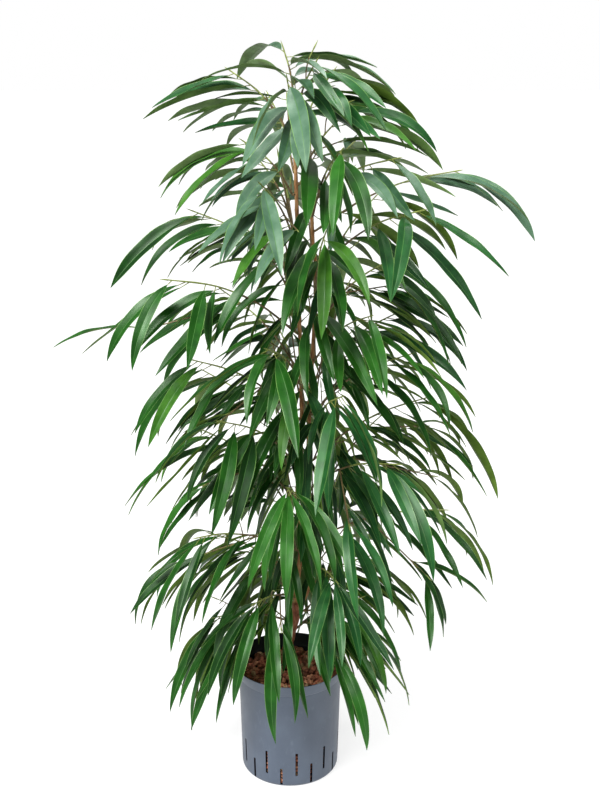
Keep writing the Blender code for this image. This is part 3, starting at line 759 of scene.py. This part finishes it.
class Piece:
    """Points and faces of one kind, gathered until they are made into objects of a limited size."""

    def __init__(self, name, materials, slot):
        self.name = name
        self.materials = materials
        self.slot = slot
        self.points = []
        self.faces = []
        self.paints = []
        self.nodes = set()
        self.made = []

    def add(self, points, faces, paints, node):
        """Takes in a shape for a CAD node; a full piece is made first, so that it stays under the limit."""
        if 2 * (len(self.faces) + len(faces)) > PIECE_LIMIT:
            self.make()
        first = len(self.points)
        self.points.extend(points)
        self.faces.extend([first + index for index in face] for face in faces)
        self.paints.extend(paints)
        self.nodes.add(node)

    def make(self):
        if not self.faces:
            return
        label = f"{self.name}_{len(self.made) + 1}"
        mesh = bpy.data.meshes.new(label)
        mesh.from_pydata(self.points, [], self.faces)
        for material in self.materials:
            mesh.materials.append(material)
        mesh.polygons.foreach_set("material_index", self.paints)
        mesh.shade_smooth()
        mesh.set_sharp_from_angle(angle=SHARP_ANGLE)
        obj = bpy.data.objects.new(label, mesh)
        bpy.context.scene.collection.objects.link(obj)
        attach(obj, "root")
        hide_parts(*sorted(self.nodes))
        self.made.append(obj)
        self.points, self.faces, self.paints, self.nodes = [], [], [], set()


def ring_faces(start, sides, closed=True):
    """The quads between a ring of points and the next one."""
    last = sides if closed else sides - 1
    return [
        (start + side, start + (side + 1) % sides, start + sides + (side + 1) % sides, start + sides + side)
        for side in range(last)
    ]


def round_tube(route, sides):
    """A capped round tube along points with radii."""
    points, faces = [], []
    across = None
    for index, (point, radius) in enumerate(route):
        before = route[max(index - 1, 0)][0]
        after = route[min(index + 1, len(route) - 1)][0]
        along = (after - before).normalized()
        if across is None:
            across = along.orthogonal().normalized()
        across = (across - along * across.dot(along)).normalized()
        over = along.cross(across)
        for side in range(sides):
            angle = 2 * math.pi * side / sides
            points.append(point + (across * math.cos(angle) + over * math.sin(angle)) * radius)
        if index:
            faces.extend(ring_faces(sides * (index - 1), sides))
    faces.append(tuple(reversed(range(sides))))
    faces.append(tuple(range(len(points) - sides, len(points))))
    return points, faces


def fine_route(route, steps):
    """The route with more points, on a smooth curve through its own."""
    points = [point for point, _ in route]
    made = []
    for index in range((len(route) - 1) * steps + 1):
        position = index / steps
        low = min(int(position), len(route) - 2)
        radius = mix(route[low][1], route[low + 1][1], position - low)
        made.append((smooth_point(points, position), radius))
    return made


def blade_width(share):
    """A lance-shaped outline: the half width at a share of the blade, 1 where it is widest."""
    away = (share - BLADE_WIDEST) / (1 - BLADE_WIDEST if share > BLADE_WIDEST else BLADE_WIDEST)
    return (1 - abs(away) ** BLADE_FLATNESS) ** BLADE_POINT


COLUMNS = (-1.0, -MARGIN, -0.5, -MIDRIB, MIDRIB, 0.5, MARGIN, 1.0)
TOP, OLD, YOUNG, RIB, EDGE, UNDER, STALK = range(7)


def fine_leaf(leaf, breadth, tint, rng):
    """A leaf's points, faces and paints: its stalk, then its blade with midrib and margins."""
    half = leaf.length / LEAF_SLENDERNESS / 2 * breadth
    fold = rng.uniform(*BLADE_FOLD)
    twist = rng.uniform(-1, 1) * BLADE_TWIST
    phase = rng.uniform(0, 2 * math.pi)
    waves = rng.uniform(1.5, 3.0)
    points, faces, paints = [], [], []
    inner = COLUMNS[1:-1]
    per_ring = len(COLUMNS) + len(inner)
    for step in range(BLADE_STEPS + 1):
        share = 0.012 + 0.986 * (step / BLADE_STEPS) ** 1.15
        point, across, normal = leaf.spine(STALK_SHARE + (1 - STALK_SHARE) * share)
        turn = Matrix.Rotation(twist * share, 3, across.cross(normal))
        across = turn @ across
        normal = turn @ normal
        wide = half * blade_width(share)
        heights = []
        for column in COLUMNS:
            ripple = BLADE_RIPPLE * math.sin(waves * share * 2 * math.pi + phase + column) * column**2
            heights.append(wide * fold * abs(column) * (1.25 - 0.25 * abs(column)) + ripple * wide / half)
        for column, height in zip(COLUMNS, heights):
            points.append(point + across * (wide * column) + normal * height)
        for column, height in zip(inner, heights[1:-1]):
            rib = 1.6 if abs(column) == MIDRIB else 1.0
            points.append(point + across * (wide * column) + normal * (height - BLADE_THICKNESS * rib))
    last = len(COLUMNS) - 1
    for step in range(BLADE_STEPS):
        here = step * per_ring
        there = here + per_ring
        for column in range(last):
            faces.append((here + column, there + column, there + column + 1, here + column + 1))
            paints.append(EDGE if column in (0, last - 1) else RIB if column == last // 2 else tint)
        under = [0] + [len(COLUMNS) + index for index in range(len(inner))] + [last]
        for left, right in zip(under, under[1:]):
            faces.append((here + left, here + right, there + right, there + left))
            paints.append(UNDER)
    end = BLADE_STEPS * per_ring
    around = list(range(len(COLUMNS))) + [len(COLUMNS) + index for index in reversed(range(len(inner)))]
    faces.append(tuple(around))
    faces.append(tuple(end + index for index in reversed(around)))
    paints.extend((STALK, tint))
    stalk = []
    for step in range(4):
        point, _, normal = leaf.spine(STALK_SHARE * 1.25 * step / 3)
        stalk.append((point - normal * (STALK_RADIUS * step / 3), STALK_RADIUS * (1 - 0.1 * step)))
    tube_points, tube_faces = round_tube(stalk, STALK_SIDES)
    first = len(points)
    points.extend(tube_points)
    faces.extend([first + index for index in face] for face in tube_faces)
    paints.extend([STALK] * len(tube_faces))
    return points, faces, paints


def fine_twig(route, rng):
    """A twig that swells a little at its nodes and ends in a pointed bud, with its paints."""
    smooth = fine_route(route, TWIG_SMOOTHING)
    length = sum((b[0] - a[0]).length for a, b in zip(smooth, smooth[1:]))
    travelled = 0
    shaped = []
    for index, (point, radius) in enumerate(smooth):
        if index:
            travelled += (point - smooth[index - 1][0]).length
        swell = max(0, math.cos(2 * math.pi * travelled / NODE_SPACING)) ** 4 * NODE_SWELL
        shaped.append((point, radius * (1 + swell)))
    tip, radius = shaped[-1]
    along = (tip - shaped[-3][0]).normalized()
    bud = rng.uniform(*BUD_LENGTH)
    for share, width in ((0.15, 1.0), (0.45, 0.9), (0.75, 0.55), (1.0, 0.12)):
        shaped.append((tip + along * bud * share, BUD_RADIUS * width))
    points, faces = round_tube(shaped, TWIG_SIDES)
    woody = int(len(shaped) * 0.55)
    paints = [0 if index // TWIG_SIDES < woody else 1 for index in range(len(faces))]
    return points, faces, paints


def bark_limb(name, route, sides, relief, scars, materials):
    """A limb's mesh with ridged, scarred bark, along a smooth route of points and radii."""
    length = sum((b[0] - a[0]).length for a, b in zip(route, route[1:]))
    steps = max(2, round(length / BARK_STEP))
    points = [point for point, _ in route]
    made, faces = [], []
    last = len(route) - 1
    for step in range(steps + 1):
        position = last * step / steps
        low = min(int(position), last - 1)
        centre = smooth_point(points, position)
        radius = mix(route[low][1], route[low + 1][1], position - low)
        ahead = smooth_point(points, min(position + 0.05, last)) - smooth_point(points, max(position - 0.05, 0))
        along = ahead.normalized()
        across = Vector((1, 0, 0))
        across = (across - along * across.dot(along)).normalized()
        over = along.cross(across)
        travelled = length * step / steps
        ring = max(0, math.cos(2 * math.pi * travelled / SCAR_SPACING)) ** 12 * SCAR_HEIGHT * scars
        for side in range(sides):
            angle = 2 * math.pi * side / sides
            way = across * math.cos(angle) + over * math.sin(angle)
            place = Vector((way.x * 5.5, way.y * 5.5, centre.z * 75))
            fissure = noise.noise(place) + 0.5 * noise.noise(place * 2.3)
            speck = noise.noise(Vector((way.x * 9, way.y * 9, centre.z * 420)))
            made.append(centre + way * (radius + relief * (fissure + 0.6 * speck) + ring))
        if step:
            faces.extend(ring_faces(sides * (step - 1), sides))
    faces.append(tuple(reversed(range(sides))))
    faces.append(tuple(range(len(made) - sides, len(made))))
    mesh = bpy.data.meshes.new(name)
    mesh.from_pydata(made, [], faces)
    for material in materials:
        mesh.materials.append(material)
    mesh.shade_smooth()
    return mesh


def add_piece(name, mesh, slot, *nodes):
    """A new object that rides on the plant and stands for the CAD nodes."""
    obj = bpy.data.objects.new(name, mesh)
    bpy.context.scene.collection.objects.link(obj)
    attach(obj, "root")
    if nodes:
        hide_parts(*nodes)
    return obj


def turned_mesh(name, profile, sides):
    """A closed shape turned from a profile of (radius, height) that starts and ends on the axis."""
    mesh = bpy.data.meshes.new(name)
    edges = [(index, index + 1) for index in range(len(profile) - 1)]
    mesh.from_pydata([(radius, 0, height) for radius, height in profile], edges, [])
    obj = bpy.data.objects.new(name, mesh)
    bpy.context.scene.collection.objects.link(obj)
    screw = obj.modifiers.new("turn", "SCREW")
    screw.steps = sides
    screw.render_steps = sides
    screw.use_merge_vertices = True
    screw.merge_threshold = 0.00001
    return obj


def applied_mesh(obj):
    """The object's mesh with its modifiers applied; the object itself goes."""
    bpy.context.view_layer.update()
    graph = bpy.context.evaluated_depsgraph_get()
    mesh = bpy.data.meshes.new_from_object(obj.evaluated_get(graph))
    mesh.transform(obj.matrix_world)
    bpy.data.objects.remove(obj, do_unlink=True)
    return mesh


def rounded(start, corner, end, radius, steps=4):
    """Points round a profile's corner, which it turns with a small radius."""
    first = corner + (start - corner).normalized() * radius
    last = corner + (end - corner).normalized() * radius
    points = []
    for step in range(steps + 1):
        share = step / steps
        points.append(first.lerp(corner, share).lerp(corner.lerp(last, share), share))
    return points


def pot_profile():
    """The pot's section from the axis inside, over the rim and down to the axis underneath."""
    step = POT_HEIGHT - COLLAR_HEIGHT
    corners = [
        (0, WALL, 0),
        (FOOT_RADIUS - WALL, WALL, 0.002),
        (BODY_RADIUS - WALL, step - STEP_HEIGHT, 0.0006),
        (COLLAR_RADIUS - WALL, step + STEP_HEIGHT, 0.0006),
        (RIM_RADIUS - WALL, POT_HEIGHT, 0.0007),
        (RIM_RADIUS, POT_HEIGHT, 0.0007),
        (COLLAR_RADIUS, step, 0.0005),
        (BODY_RADIUS, step - STEP_HEIGHT, 0.0006),
        (FOOT_RADIUS, FOOT_BEVEL * 1.4, 0.003),
        (FOOT_RADIUS - FOOT_BEVEL * 1.2, 0, 0.0015),
        (0, 0, 0),
    ]
    points = [Vector((radius, height)) for radius, height, _ in corners]
    profile = [points[0]]
    for index in range(1, len(corners) - 1):
        profile.extend(rounded(points[index - 1], points[index], points[index + 1], corners[index][2]))
    profile.append(points[-1])
    return [tuple(point) for point in profile]


def slot_spans():
    """Each slot's angle round the pot and its lowest and highest point."""
    spans = []
    for index in range(SLOT_COUNT):
        low, high = HIGH_SLOT if index % 2 else LOW_SLOT
        if index == SHORT_SLOT_INDEX:
            low, high = SHORT_SLOT
        spans.append((SLOT_TURN + (index + 0.25) * 2 * math.pi / SLOT_COUNT, low, high))
    return spans


def build_pot(materials):
    pot = turned_mesh("pot body", pot_profile(), POT_FINE_SIDES)
    cutters = bpy.data.collections.new("slots")
    bpy.context.scene.collection.children.link(cutters)
    for angle, low, high in slot_spans():
        bm = bmesh.new()
        bmesh.ops.create_cube(bm, size=1)
        bmesh.ops.scale(bm, vec=(0.016, SLOT_WIDTH, high - low), verts=bm.verts)
        across = [edge for edge in bm.edges if abs(edge.verts[0].co.x - edge.verts[1].co.x) > 0.001]
        bmesh.ops.bevel(bm, geom=across, offset=0.0009, segments=3, profile=0.5, affect="EDGES")
        mesh = bpy.data.meshes.new("slot")
        bm.to_mesh(mesh)
        bm.free()
        slot = bpy.data.objects.new("slot", mesh)
        slot.location = (FOOT_RADIUS * math.cos(angle), FOOT_RADIUS * math.sin(angle), (low + high) / 2)
        slot.rotation_euler.z = angle
        cutters.objects.link(slot)
    cut = pot.modifiers.new("slots", "BOOLEAN")
    cut.operand_type = "COLLECTION"
    cut.collection = cutters
    mesh = applied_mesh(pot)
    for slot in list(cutters.objects):
        bpy.data.objects.remove(slot, do_unlink=True)
    bpy.data.collections.remove(cutters)
    mesh.materials.clear()
    for material in materials:
        mesh.materials.append(material)
    # Faces inside the wall, and the upward faces below the rim, take the near-black inner plastic.
    for face in mesh.polygons:
        centre = face.center
        inward = centre.to_2d().dot(face.normal.to_2d()) < 0 or (face.normal.z > 0.5 and centre.z < POT_HEIGHT - 0.002)
        face.material_index = 1 if inward else 0
    mesh.shade_smooth()
    mesh.set_sharp_from_angle(angle=SHARP_ANGLE)
    return add_piece("pot_wall", mesh, "pot_plastic", "pot")


def pebble_shape(rng, radius, detail):
    """A burst clay ball: lumpy, a little flattened, with chipped faces."""
    bm = bmesh.new()
    bmesh.ops.create_icosphere(bm, subdivisions=detail, radius=1)
    offset = Vector((rng.uniform(0, 99), rng.uniform(0, 99), rng.uniform(0, 99)))
    chips = [Vector((rng.gauss(0, 1), rng.gauss(0, 1), rng.gauss(0, 1))).normalized() for _ in range(5)]
    stretch = Vector((rng.uniform(0.85, 1.35), rng.uniform(0.8, 1.1), rng.uniform(0.7, 0.95)))
    points = []
    for vertex in bm.verts:
        way = vertex.co.normalized()
        size = 1 + 0.16 * noise.noise(way * 1.4 + offset) + 0.09 * noise.noise(way * 3.7 + offset)
        for chip in chips:
            over = way.dot(chip) * size - 0.80
            if over > 0:
                size -= over * 0.8
        points.append(Vector((way.x * stretch.x, way.y * stretch.y, way.z * stretch.z)) * size * radius)
    faces = [[vertex.index for vertex in face.verts] for face in bm.faces]
    bm.free()
    turn = Matrix.Rotation(rng.uniform(0, 2 * math.pi), 3, "Z") @ Matrix.Rotation(rng.uniform(-0.5, 0.5), 3, "X")
    return [turn @ point for point in points], faces


def build_pebbles(materials, trunk):
    """A loose layer of pebbles on the fill, and a few behind each slot; the fill's core is painted near black, as the
    shade between the pebbles.
    """
    rng = random.Random(SEED)
    stock = Piece("pebble_fill", materials, "clay_pebbles")
    core = POT_HEIGHT - COLLAR_HEIGHT
    inside = BODY_RADIUS - WALL - 0.0015
    foot_core = FOOT_RADIUS - WALL - 0.0065
    # The fill's core: a near-black cylinder of painted shade, seen in the gaps between the pebbles.
    route = [(Vector((0, 0, 0.003)), foot_core), (Vector((0, 0, GROUND - 0.009)), foot_core + 0.002)]
    points, faces = round_tube(route, 48)
    stock.add(points, faces, [len(materials) - 1] * len(faces), "pebbles")
    placed = []
    for layer in range(PEBBLE_LAYERS):
        height = GROUND - 0.0075 + layer * 0.0055
        for attempt in range(2600):
            angle = rng.uniform(0, 2 * math.pi)
            out = inside * math.sqrt(rng.random())
            radius = rng.uniform(*PEBBLE_RADIUS)
            place = Vector((out * math.cos(angle), out * math.sin(angle), height + rng.uniform(-0.001, 0.0015)))
            if out + radius > inside or (place - trunk[0][0]).to_2d().length < trunk[0][1] + radius * 0.75:
                continue
            if any((place - other).length < PEBBLE_SPACING * 0.5 + radius * 0.62 for other in placed):
                continue
            placed.append(place)
            points, faces = pebble_shape(rng, radius, PEBBLE_DETAIL)
            paint = rng.choice(PEBBLE_PAINTS)
            stock.add([place + point for point in points], faces, [paint] * len(faces), "pebbles")
    for angle, low, high in slot_spans():
        height = low
        while height < high + 0.002:
            radius = rng.uniform(0.0034, 0.0048)
            wall = mix(FOOT_RADIUS, BODY_RADIUS, height / core) - WALL
            turn = angle + rng.uniform(-0.012, 0.012)
            out = wall - radius * 1.25
            place = Vector((out * math.cos(turn), out * math.sin(turn), max(height, 0.0065)))
            points, faces = pebble_shape(rng, radius, 2)
            stock.add([place + point for point in points], faces, [rng.choice(PEBBLE_PAINTS)] * len(faces), "pebbles")
            height += radius * 1.75
    stock.make()


def tint_of(shoot, place, rng):
    """The green a leaf is dealt: older ones, near the stem, are darker, and young ones yellower."""
    young = YOUNG_RISE * max(shoot.share - 0.5, 0) + (YOUNG_TIP if place > 0.85 else 0)
    if rng.random() < young:
        return YOUNG
    return OLD if rng.random() < mix(*OLD_SHARE, place) else TOP


def finer_twigs(shoot, shoots, main, placed):
    """Short twigs between the shoot's own, which carry more leaves in its space."""
    rng = random.Random(SEED * 2000 + shoot.number)
    made = []
    for fraction, lift in FINE_TWIGS:
        heading, pitch = heading_of(main, fraction)
        begin = along_route(main, fraction)
        spread = rng.choice((-1, 1)) * TWIG_SPREAD * rng.uniform(0.8, 1.4)
        size = rng.uniform(*FINE_LENGTH)
        route = arching_route(begin, heading + spread, size, (pitch + lift, pitch), FINE_RADII, 0, 3)
        if route_clear(route, shoot, shoots, placed):
            placed.add(*tube_cage(route), shoot.name)
            made.append(route)
    return made


def fill_leaves(shoot, shoots, twigs, counts, placed):
    """More leaves between the first ones, smaller, where there is room left in the shoot's own space."""
    rng = random.Random(SEED * 4000 + shoot.number)
    leaves = []
    for route, count in zip(twigs, counts):
        side = rng.choice((-1, 1))
        for place in range(count):
            side = -side
            share = mix(FIRST_LEAF, LAST_LEAF, (place + rng.uniform(0.2, 0.8)) / count)
            scale = rng.uniform(*FILL_SCALE)
            leaf = try_leaf(shoot, shoots, route, share, side, placed, rng, scale, 0)
            if leaf:
                leaves.append((leaf, share))
                placed.add(leaf.points(), LEAF_FACES, shoot.name + " leaf")
    return leaves


def build_foliage(shoots, limb_of, placed, leaf_sets, twig_skins):
    """Leaves and twigs of every shoot; each spray of leaves is dealt one set of greens."""
    blades = [Piece(f"leaves_{label}", materials, "leaves") for label, materials in leaf_sets]
    twig_piece = Piece("twigs", twig_skins, "leaves")
    routes = {}
    for shoot in shoots:
        routes[shoot.name] = shoot_twigs(shoot, limb_of(shoot))
        placed.add(*tube_cage(routes[shoot.name][0]), shoot.name)
    for shoot in shoots:
        main, *sides = routes[shoot.name]
        kept = [route for route in sides if route_clear(route, shoot, shoots, placed)]
        for route in kept:
            placed.add(*tube_cage(route), shoot.name)
        routes[shoot.name] = [main, *kept]
    grown = {}
    for shoot in shoots:
        grown[shoot.name] = grow_leaves(shoot, shoots, routes[shoot.name], placed)
    total = 0
    for shoot in shoots:
        leaves, twigs = grown[shoot.name]
        finer = [] if shoot.on_tip else finer_twigs(shoot, shoots, twigs[0], placed)
        counts = [FILL_ON_SHOOT] + [FILL_ON_TWIG] * (len(twigs) - 1) + [FILL_ON_FINE] * len(finer)
        if shoot.share < FILL_TOP:
            leaves = leaves + fill_leaves(shoot, shoots, twigs + finer, counts, placed)
        total += len(leaves)
        rng = random.Random(SEED * 3000 + shoot.number)
        # Top shoots are dealt the pale set, painted sheen, more often.
        blade = rng.choices(blades, TOP_SET_SHARES if shoot.share > TOP_START else SET_SHARES)[0]
        for leaf, share in leaves:
            breadth = mix(*BLADE_BREADTH, shoot.share) * rng.uniform(0.93, 1.07)
            points, faces, paints = fine_leaf(leaf, breadth, tint_of(shoot, share, rng), rng)
            blade.add(points, faces, paints, shoot.name)
        for route in twigs + finer:
            points, faces, paints = fine_twig(route, rng)
            twig_piece.add(points, faces, paints, shoot.name)
    for piece in (*blades, twig_piece):
        piece.make()
    return sum(len(leaves) for leaves, _ in grown.values()), total


SHARP_ANGLE = math.radians(38)
POT_FINE_SIDES = 160
PEBBLE_PAINTS = (0, 0, 0, 1, 1, 2, 2, 3)
# Shares of the deep, mid, cool and pale sets; at the top the pale set, painted sheen, goes to half the shoots.
SET_SHARES = (0.48, 0.27, 0.21, 0.04)
TOP_SET_SHARES = (0.18, 0.17, 0.15, 0.50)
TOP_START = 0.72
SKY_LOW = 0.04
SKY_HIGH = 0.50
SUN_STRENGTH = 3.1
SOFTBOXES = (((-1.3, -1.5, 3.0), 70, 0.9), ((1.7, -1.2, 2.8), 36, 0.9), ((0.2, 1.5, 3.0), 34, 1.2))
TABLE_GLOW = 0.75

# Leaf greens, dealt out a shoot at a time; the pale set is painted sheen, greyer and lighter greens standing for the
# sky's reflection on top leaves.
young = leaf_face("young fig leaf", "#2b5a16", "#3d6e1f", 0.40, 0.4)
rib = leaf_trim("leaf midrib", "#376427", "#417031", 0.42)
edge = leaf_trim("leaf margin", "#59803b", "#658c45", 0.40)
stalk = leaf_trim("leaf stalk", "#6d7933", "#7b853d", 0.45)
LEAF_SETS = [
    (
        label,
        [
            leaf_face(f"{label} fig leaf, upper side", shade, light, 0.38, 0.46),
            leaf_face(f"{label} fig leaf, older upper side", old, shade, 0.42, 0.42),
            young,
            rib,
            edge,
            leaf_face(f"{label} fig leaf, underside", under, over, 0.55, 0.25),
            stalk,
        ],
    )
    for label, old, shade, light, under, over in (
        ("deep", "#092a09", "#113c0c", "#1d5013", "#48621f", "#5e7b2e"),
        ("mid", "#10350b", "#1b4c12", "#285f1a", "#546e28", "#6a873b"),
        ("cool", "#0c2e12", "#15411c", "#215626", "#46622d", "#5c7940"),
        # Painted sheen: the top leaves' pale sky reflection put into their base greens.
        ("pale", "#26472c", "#406049", "#57745e", "#5b7240", "#6e8b55"),
    )
]
TWIG_SKINS = [
    twig_skin("ripe twig bark", "#54452a", "#7a6842", 0.62),
    twig_skin("green twig skin", "#6f7c38", "#939f52", 0.50),
]


def bark_skin(name, shade, middle, light, streak_mm):
    """Young fig bark: matt and corky, streaked along the limb, with darker cracks."""
    material, tree, shader = new_material(name, 0.84, Specular_IOR_Level=0.3)
    streak = object_noise(tree, streak_mm, 6.0, (1, 1, 0.22))
    colour = colour_ramp(tree, streak, ((0.30, shade), (0.50, middle), (0.72, light)))
    tree.links.new(colour, shader.inputs["Base Color"])
    add_relief(tree, shader, object_noise(tree, 1.1, 4.0), 0.35)
    return material


def pot_plastic():
    """Injection-moulded polypropylene: even, satin, with faint cloudy scuffs from handling."""
    material, tree, shader = new_material("slate polypropylene", 0.46)
    cloud = object_noise(tree, 55, 5.0)
    scuff = object_noise(tree, 7, 6.0, (1, 1, 0.4))
    colour = colour_ramp(tree, cloud, ((0.30, "#495464"), (0.55, "#505b6b"), (0.80, "#586474")))
    worn = add_node(tree, "ShaderNodeMapRange", None, {"Value": scuff, "From Min": 0.60, "From Max": 0.78, "To Max": 0.22})
    mixed = add_node(tree, "ShaderNodeMix", {"data_type": "RGBA"}, {"Factor": worn.outputs["Result"]})
    tree.links.new(colour, mixed.inputs["A"])
    mixed.inputs["B"].default_value = linear("#7b8694")
    tree.links.new(mixed.outputs["Result"], shader.inputs["Base Color"])
    rough = add_node(tree, "ShaderNodeMapRange", None, {"Value": scuff, "To Min": 0.38, "To Max": 0.56})
    tree.links.new(rough.outputs["Result"], shader.inputs["Roughness"])
    add_relief(tree, shader, scuff, 0.08)
    return material


def burst_clay(name, shade, light):
    """Expanded clay: a fired, matt, pitted skin of red-brown mottled with rust and ash."""
    material, tree, shader = new_material(name, 0.93, Specular_IOR_Level=0.25)
    mottle = object_noise(tree, 4, 5.0)
    colour = colour_ramp(tree, mottle, ((0.34, shade), (0.66, light)))
    tree.links.new(colour, shader.inputs["Base Color"])
    add_relief(tree, shader, object_noise(tree, 0.9, 5.0), 0.55)
    return material


def near_black_inner_plastic():
    """The inside of the pot: the same plastic, near black and faintly clouded."""
    material, tree, shader = new_material("stained polypropylene", 0.5)
    inner_mottle = object_noise(tree, 18, 5.0)
    colour = colour_ramp(tree, inner_mottle, ((0.35, "#0a0f17"), (0.70, "#10151f")))
    tree.links.new(colour, shader.inputs["Base Color"])
    add_relief(tree, shader, inner_mottle, 0.05)
    return material


CLAY = [
    burst_clay("red-brown burst clay", "#7a4632", "#b06e54"),
    burst_clay("rusty burst clay", "#91604a", "#c28a6a"),
    burst_clay("dark burst clay", "#5c3826", "#8b5843"),
    burst_clay("pale burst clay", "#8d6c52", "#b89a78"),
    # The last is painted shade: the near-black core seen in the gaps between the pebbles.
    burst_clay("dust between the pebbles", "#20130d", "#2e1b13"),
]

trunk = trunk_route()
left_stem = stem_route(LEFT_POINTS)
right_stem = stem_route(RIGHT_POINTS)

build_pot([pot_plastic(), near_black_inner_plastic()])
build_pebbles(CLAY, trunk)

trunk_bark = bark_skin("trunk bark", "#54301f", "#8d563e", "#ad7a60", 5)
stem_bark = bark_skin("stem bark", "#6b4a2e", "#9c7048", "#bb9468", 4)
add_piece("trunk_bark", bark_limb("trunk", trunk, TRUNK_SIDES, TRUNK_RELIEF, 0.6, [trunk_bark]), "bark", "trunk")
for name, route in (("stem_left", left_stem), ("stem_right", right_stem)):
    add_piece(name + "_bark", bark_limb(name, route, STEM_SIDES, STEM_RELIEF, 1.0, [stem_bark]), "bark", name)

shoots = []
for index in range(SHOOT_COUNT):
    height = mix(*SHOOT_HEIGHTS, index / (SHOOT_COUNT - 1))
    shoots.append(Shoot(f"foliage_{index + 1:02d}", index, height, FIRST_TURN + index * GOLDEN_ANGLE))
shoots.append(
    Shoot("foliage_top_left", SHOOT_COUNT, left_stem[-1][0].z + LEADER_LENGTH / 2, math.pi, on_tip=True)
)
shoots.append(Shoot("foliage_top_right", SHOOT_COUNT + 1, right_stem[-1][0].z, RIGHT_TIP_TURN, on_tip=True))


def limb_of(shoot):
    """The limb that a shoot stands on."""
    if shoot.height < right_stem[0][0].z:
        return trunk
    right = math.cos(shoot.azimuth) > 0 and shoot.height < right_stem[-1][0].z + HEIGHT_JITTER
    return right_stem if right else left_stem


counts = build_foliage(shoots, limb_of, Placed([trunk, left_stem, right_stem]), LEAF_SETS, TWIG_SKINS)
print("leaves of the first rule, and all leaves:", counts)

# Stage: a pale floor and soft studio light.
floor_mesh = bpy.data.meshes.new("floor")
floor_mesh.from_pydata([(-8, -8, 0), (8, -8, 0), (8, 8, 0), (-8, 8, 0)], [], [(0, 1, 2, 3)])
floor = bpy.data.objects.new("floor", floor_mesh)
bpy.context.scene.collection.objects.link(floor)
paper, paper_tree, paper_shader = new_material("studio paper", 0.9, Specular_IOR_Level=0.2)
paper_colour = colour_ramp(paper_tree, object_noise(paper_tree, 300), ((0.3, "#929292"), (0.7, "#969696")))
paper_tree.links.new(paper_colour, paper_shader.inputs["Base Color"])
paper_shader.inputs["Emission Color"].default_value = linear("#ffffff")
paper_shader.inputs["Emission Strength"].default_value = TABLE_GLOW
floor_mesh.materials.append(paper)

world = bpy.data.worlds.new("soft studio")
bpy.context.scene.world = world
world.use_nodes = True
sky = world.node_tree
way = add_node(sky, "ShaderNodeTexCoord")
axes = add_node(sky, "ShaderNodeSeparateXYZ", None, {"Vector": way.outputs["Generated"]})
height = add_node(sky, "ShaderNodeMapRange", None, {"Value": axes.outputs["Z"], "From Min": 0.0, "From Max": 1.0, "To Min": SKY_LOW, "To Max": SKY_HIGH})
rays = add_node(sky, "ShaderNodeLightPath")
seen = add_node(sky, "ShaderNodeMix", {"data_type": "FLOAT"}, {"Factor": rays.outputs["Is Camera Ray"]})
sky.links.new(height.outputs["Result"], seen.inputs["A"])
seen.inputs["B"].default_value = 1.0
sky.links.new(seen.outputs["Result"], sky.nodes["Background"].inputs["Strength"])
sky.nodes["Background"].inputs["Color"].default_value = linear("#ffffff")
bpy.context.scene.view_settings.view_transform = "Standard"

sun_data = bpy.data.lights.new("window light", "SUN")
sun_data.energy = SUN_STRENGTH
sun_data.angle = math.radians(35)
sun = bpy.data.objects.new("window light", sun_data)
sun.rotation_euler = (math.radians(28), math.radians(-22), 0)
bpy.context.scene.collection.objects.link(sun)

for place, energy, size in SOFTBOXES:
    data = bpy.data.lights.new("softbox", "AREA")
    data.energy = energy
    data.size = size
    light = bpy.data.objects.new("softbox", data)
    light.location = place
    aim = Vector((0, 0, 0.7)) - Vector(place)
    light.rotation_euler = aim.to_track_quat("-Z", "Y").to_euler()
    bpy.context.scene.collection.objects.link(light)

camera_data = bpy.data.cameras.new("camera")
camera_data.sensor_width = 36
camera_data.lens = FOCAL_PIXELS / IMAGE_LONG_SIDE * 36
camera = bpy.data.objects.new("camera", camera_data)
camera.location = CAMERA_PLACE
camera.rotation_euler = (CAMERA_PITCH, 0, 0)
bpy.context.scene.collection.objects.link(camera)
bpy.context.scene.camera = camera
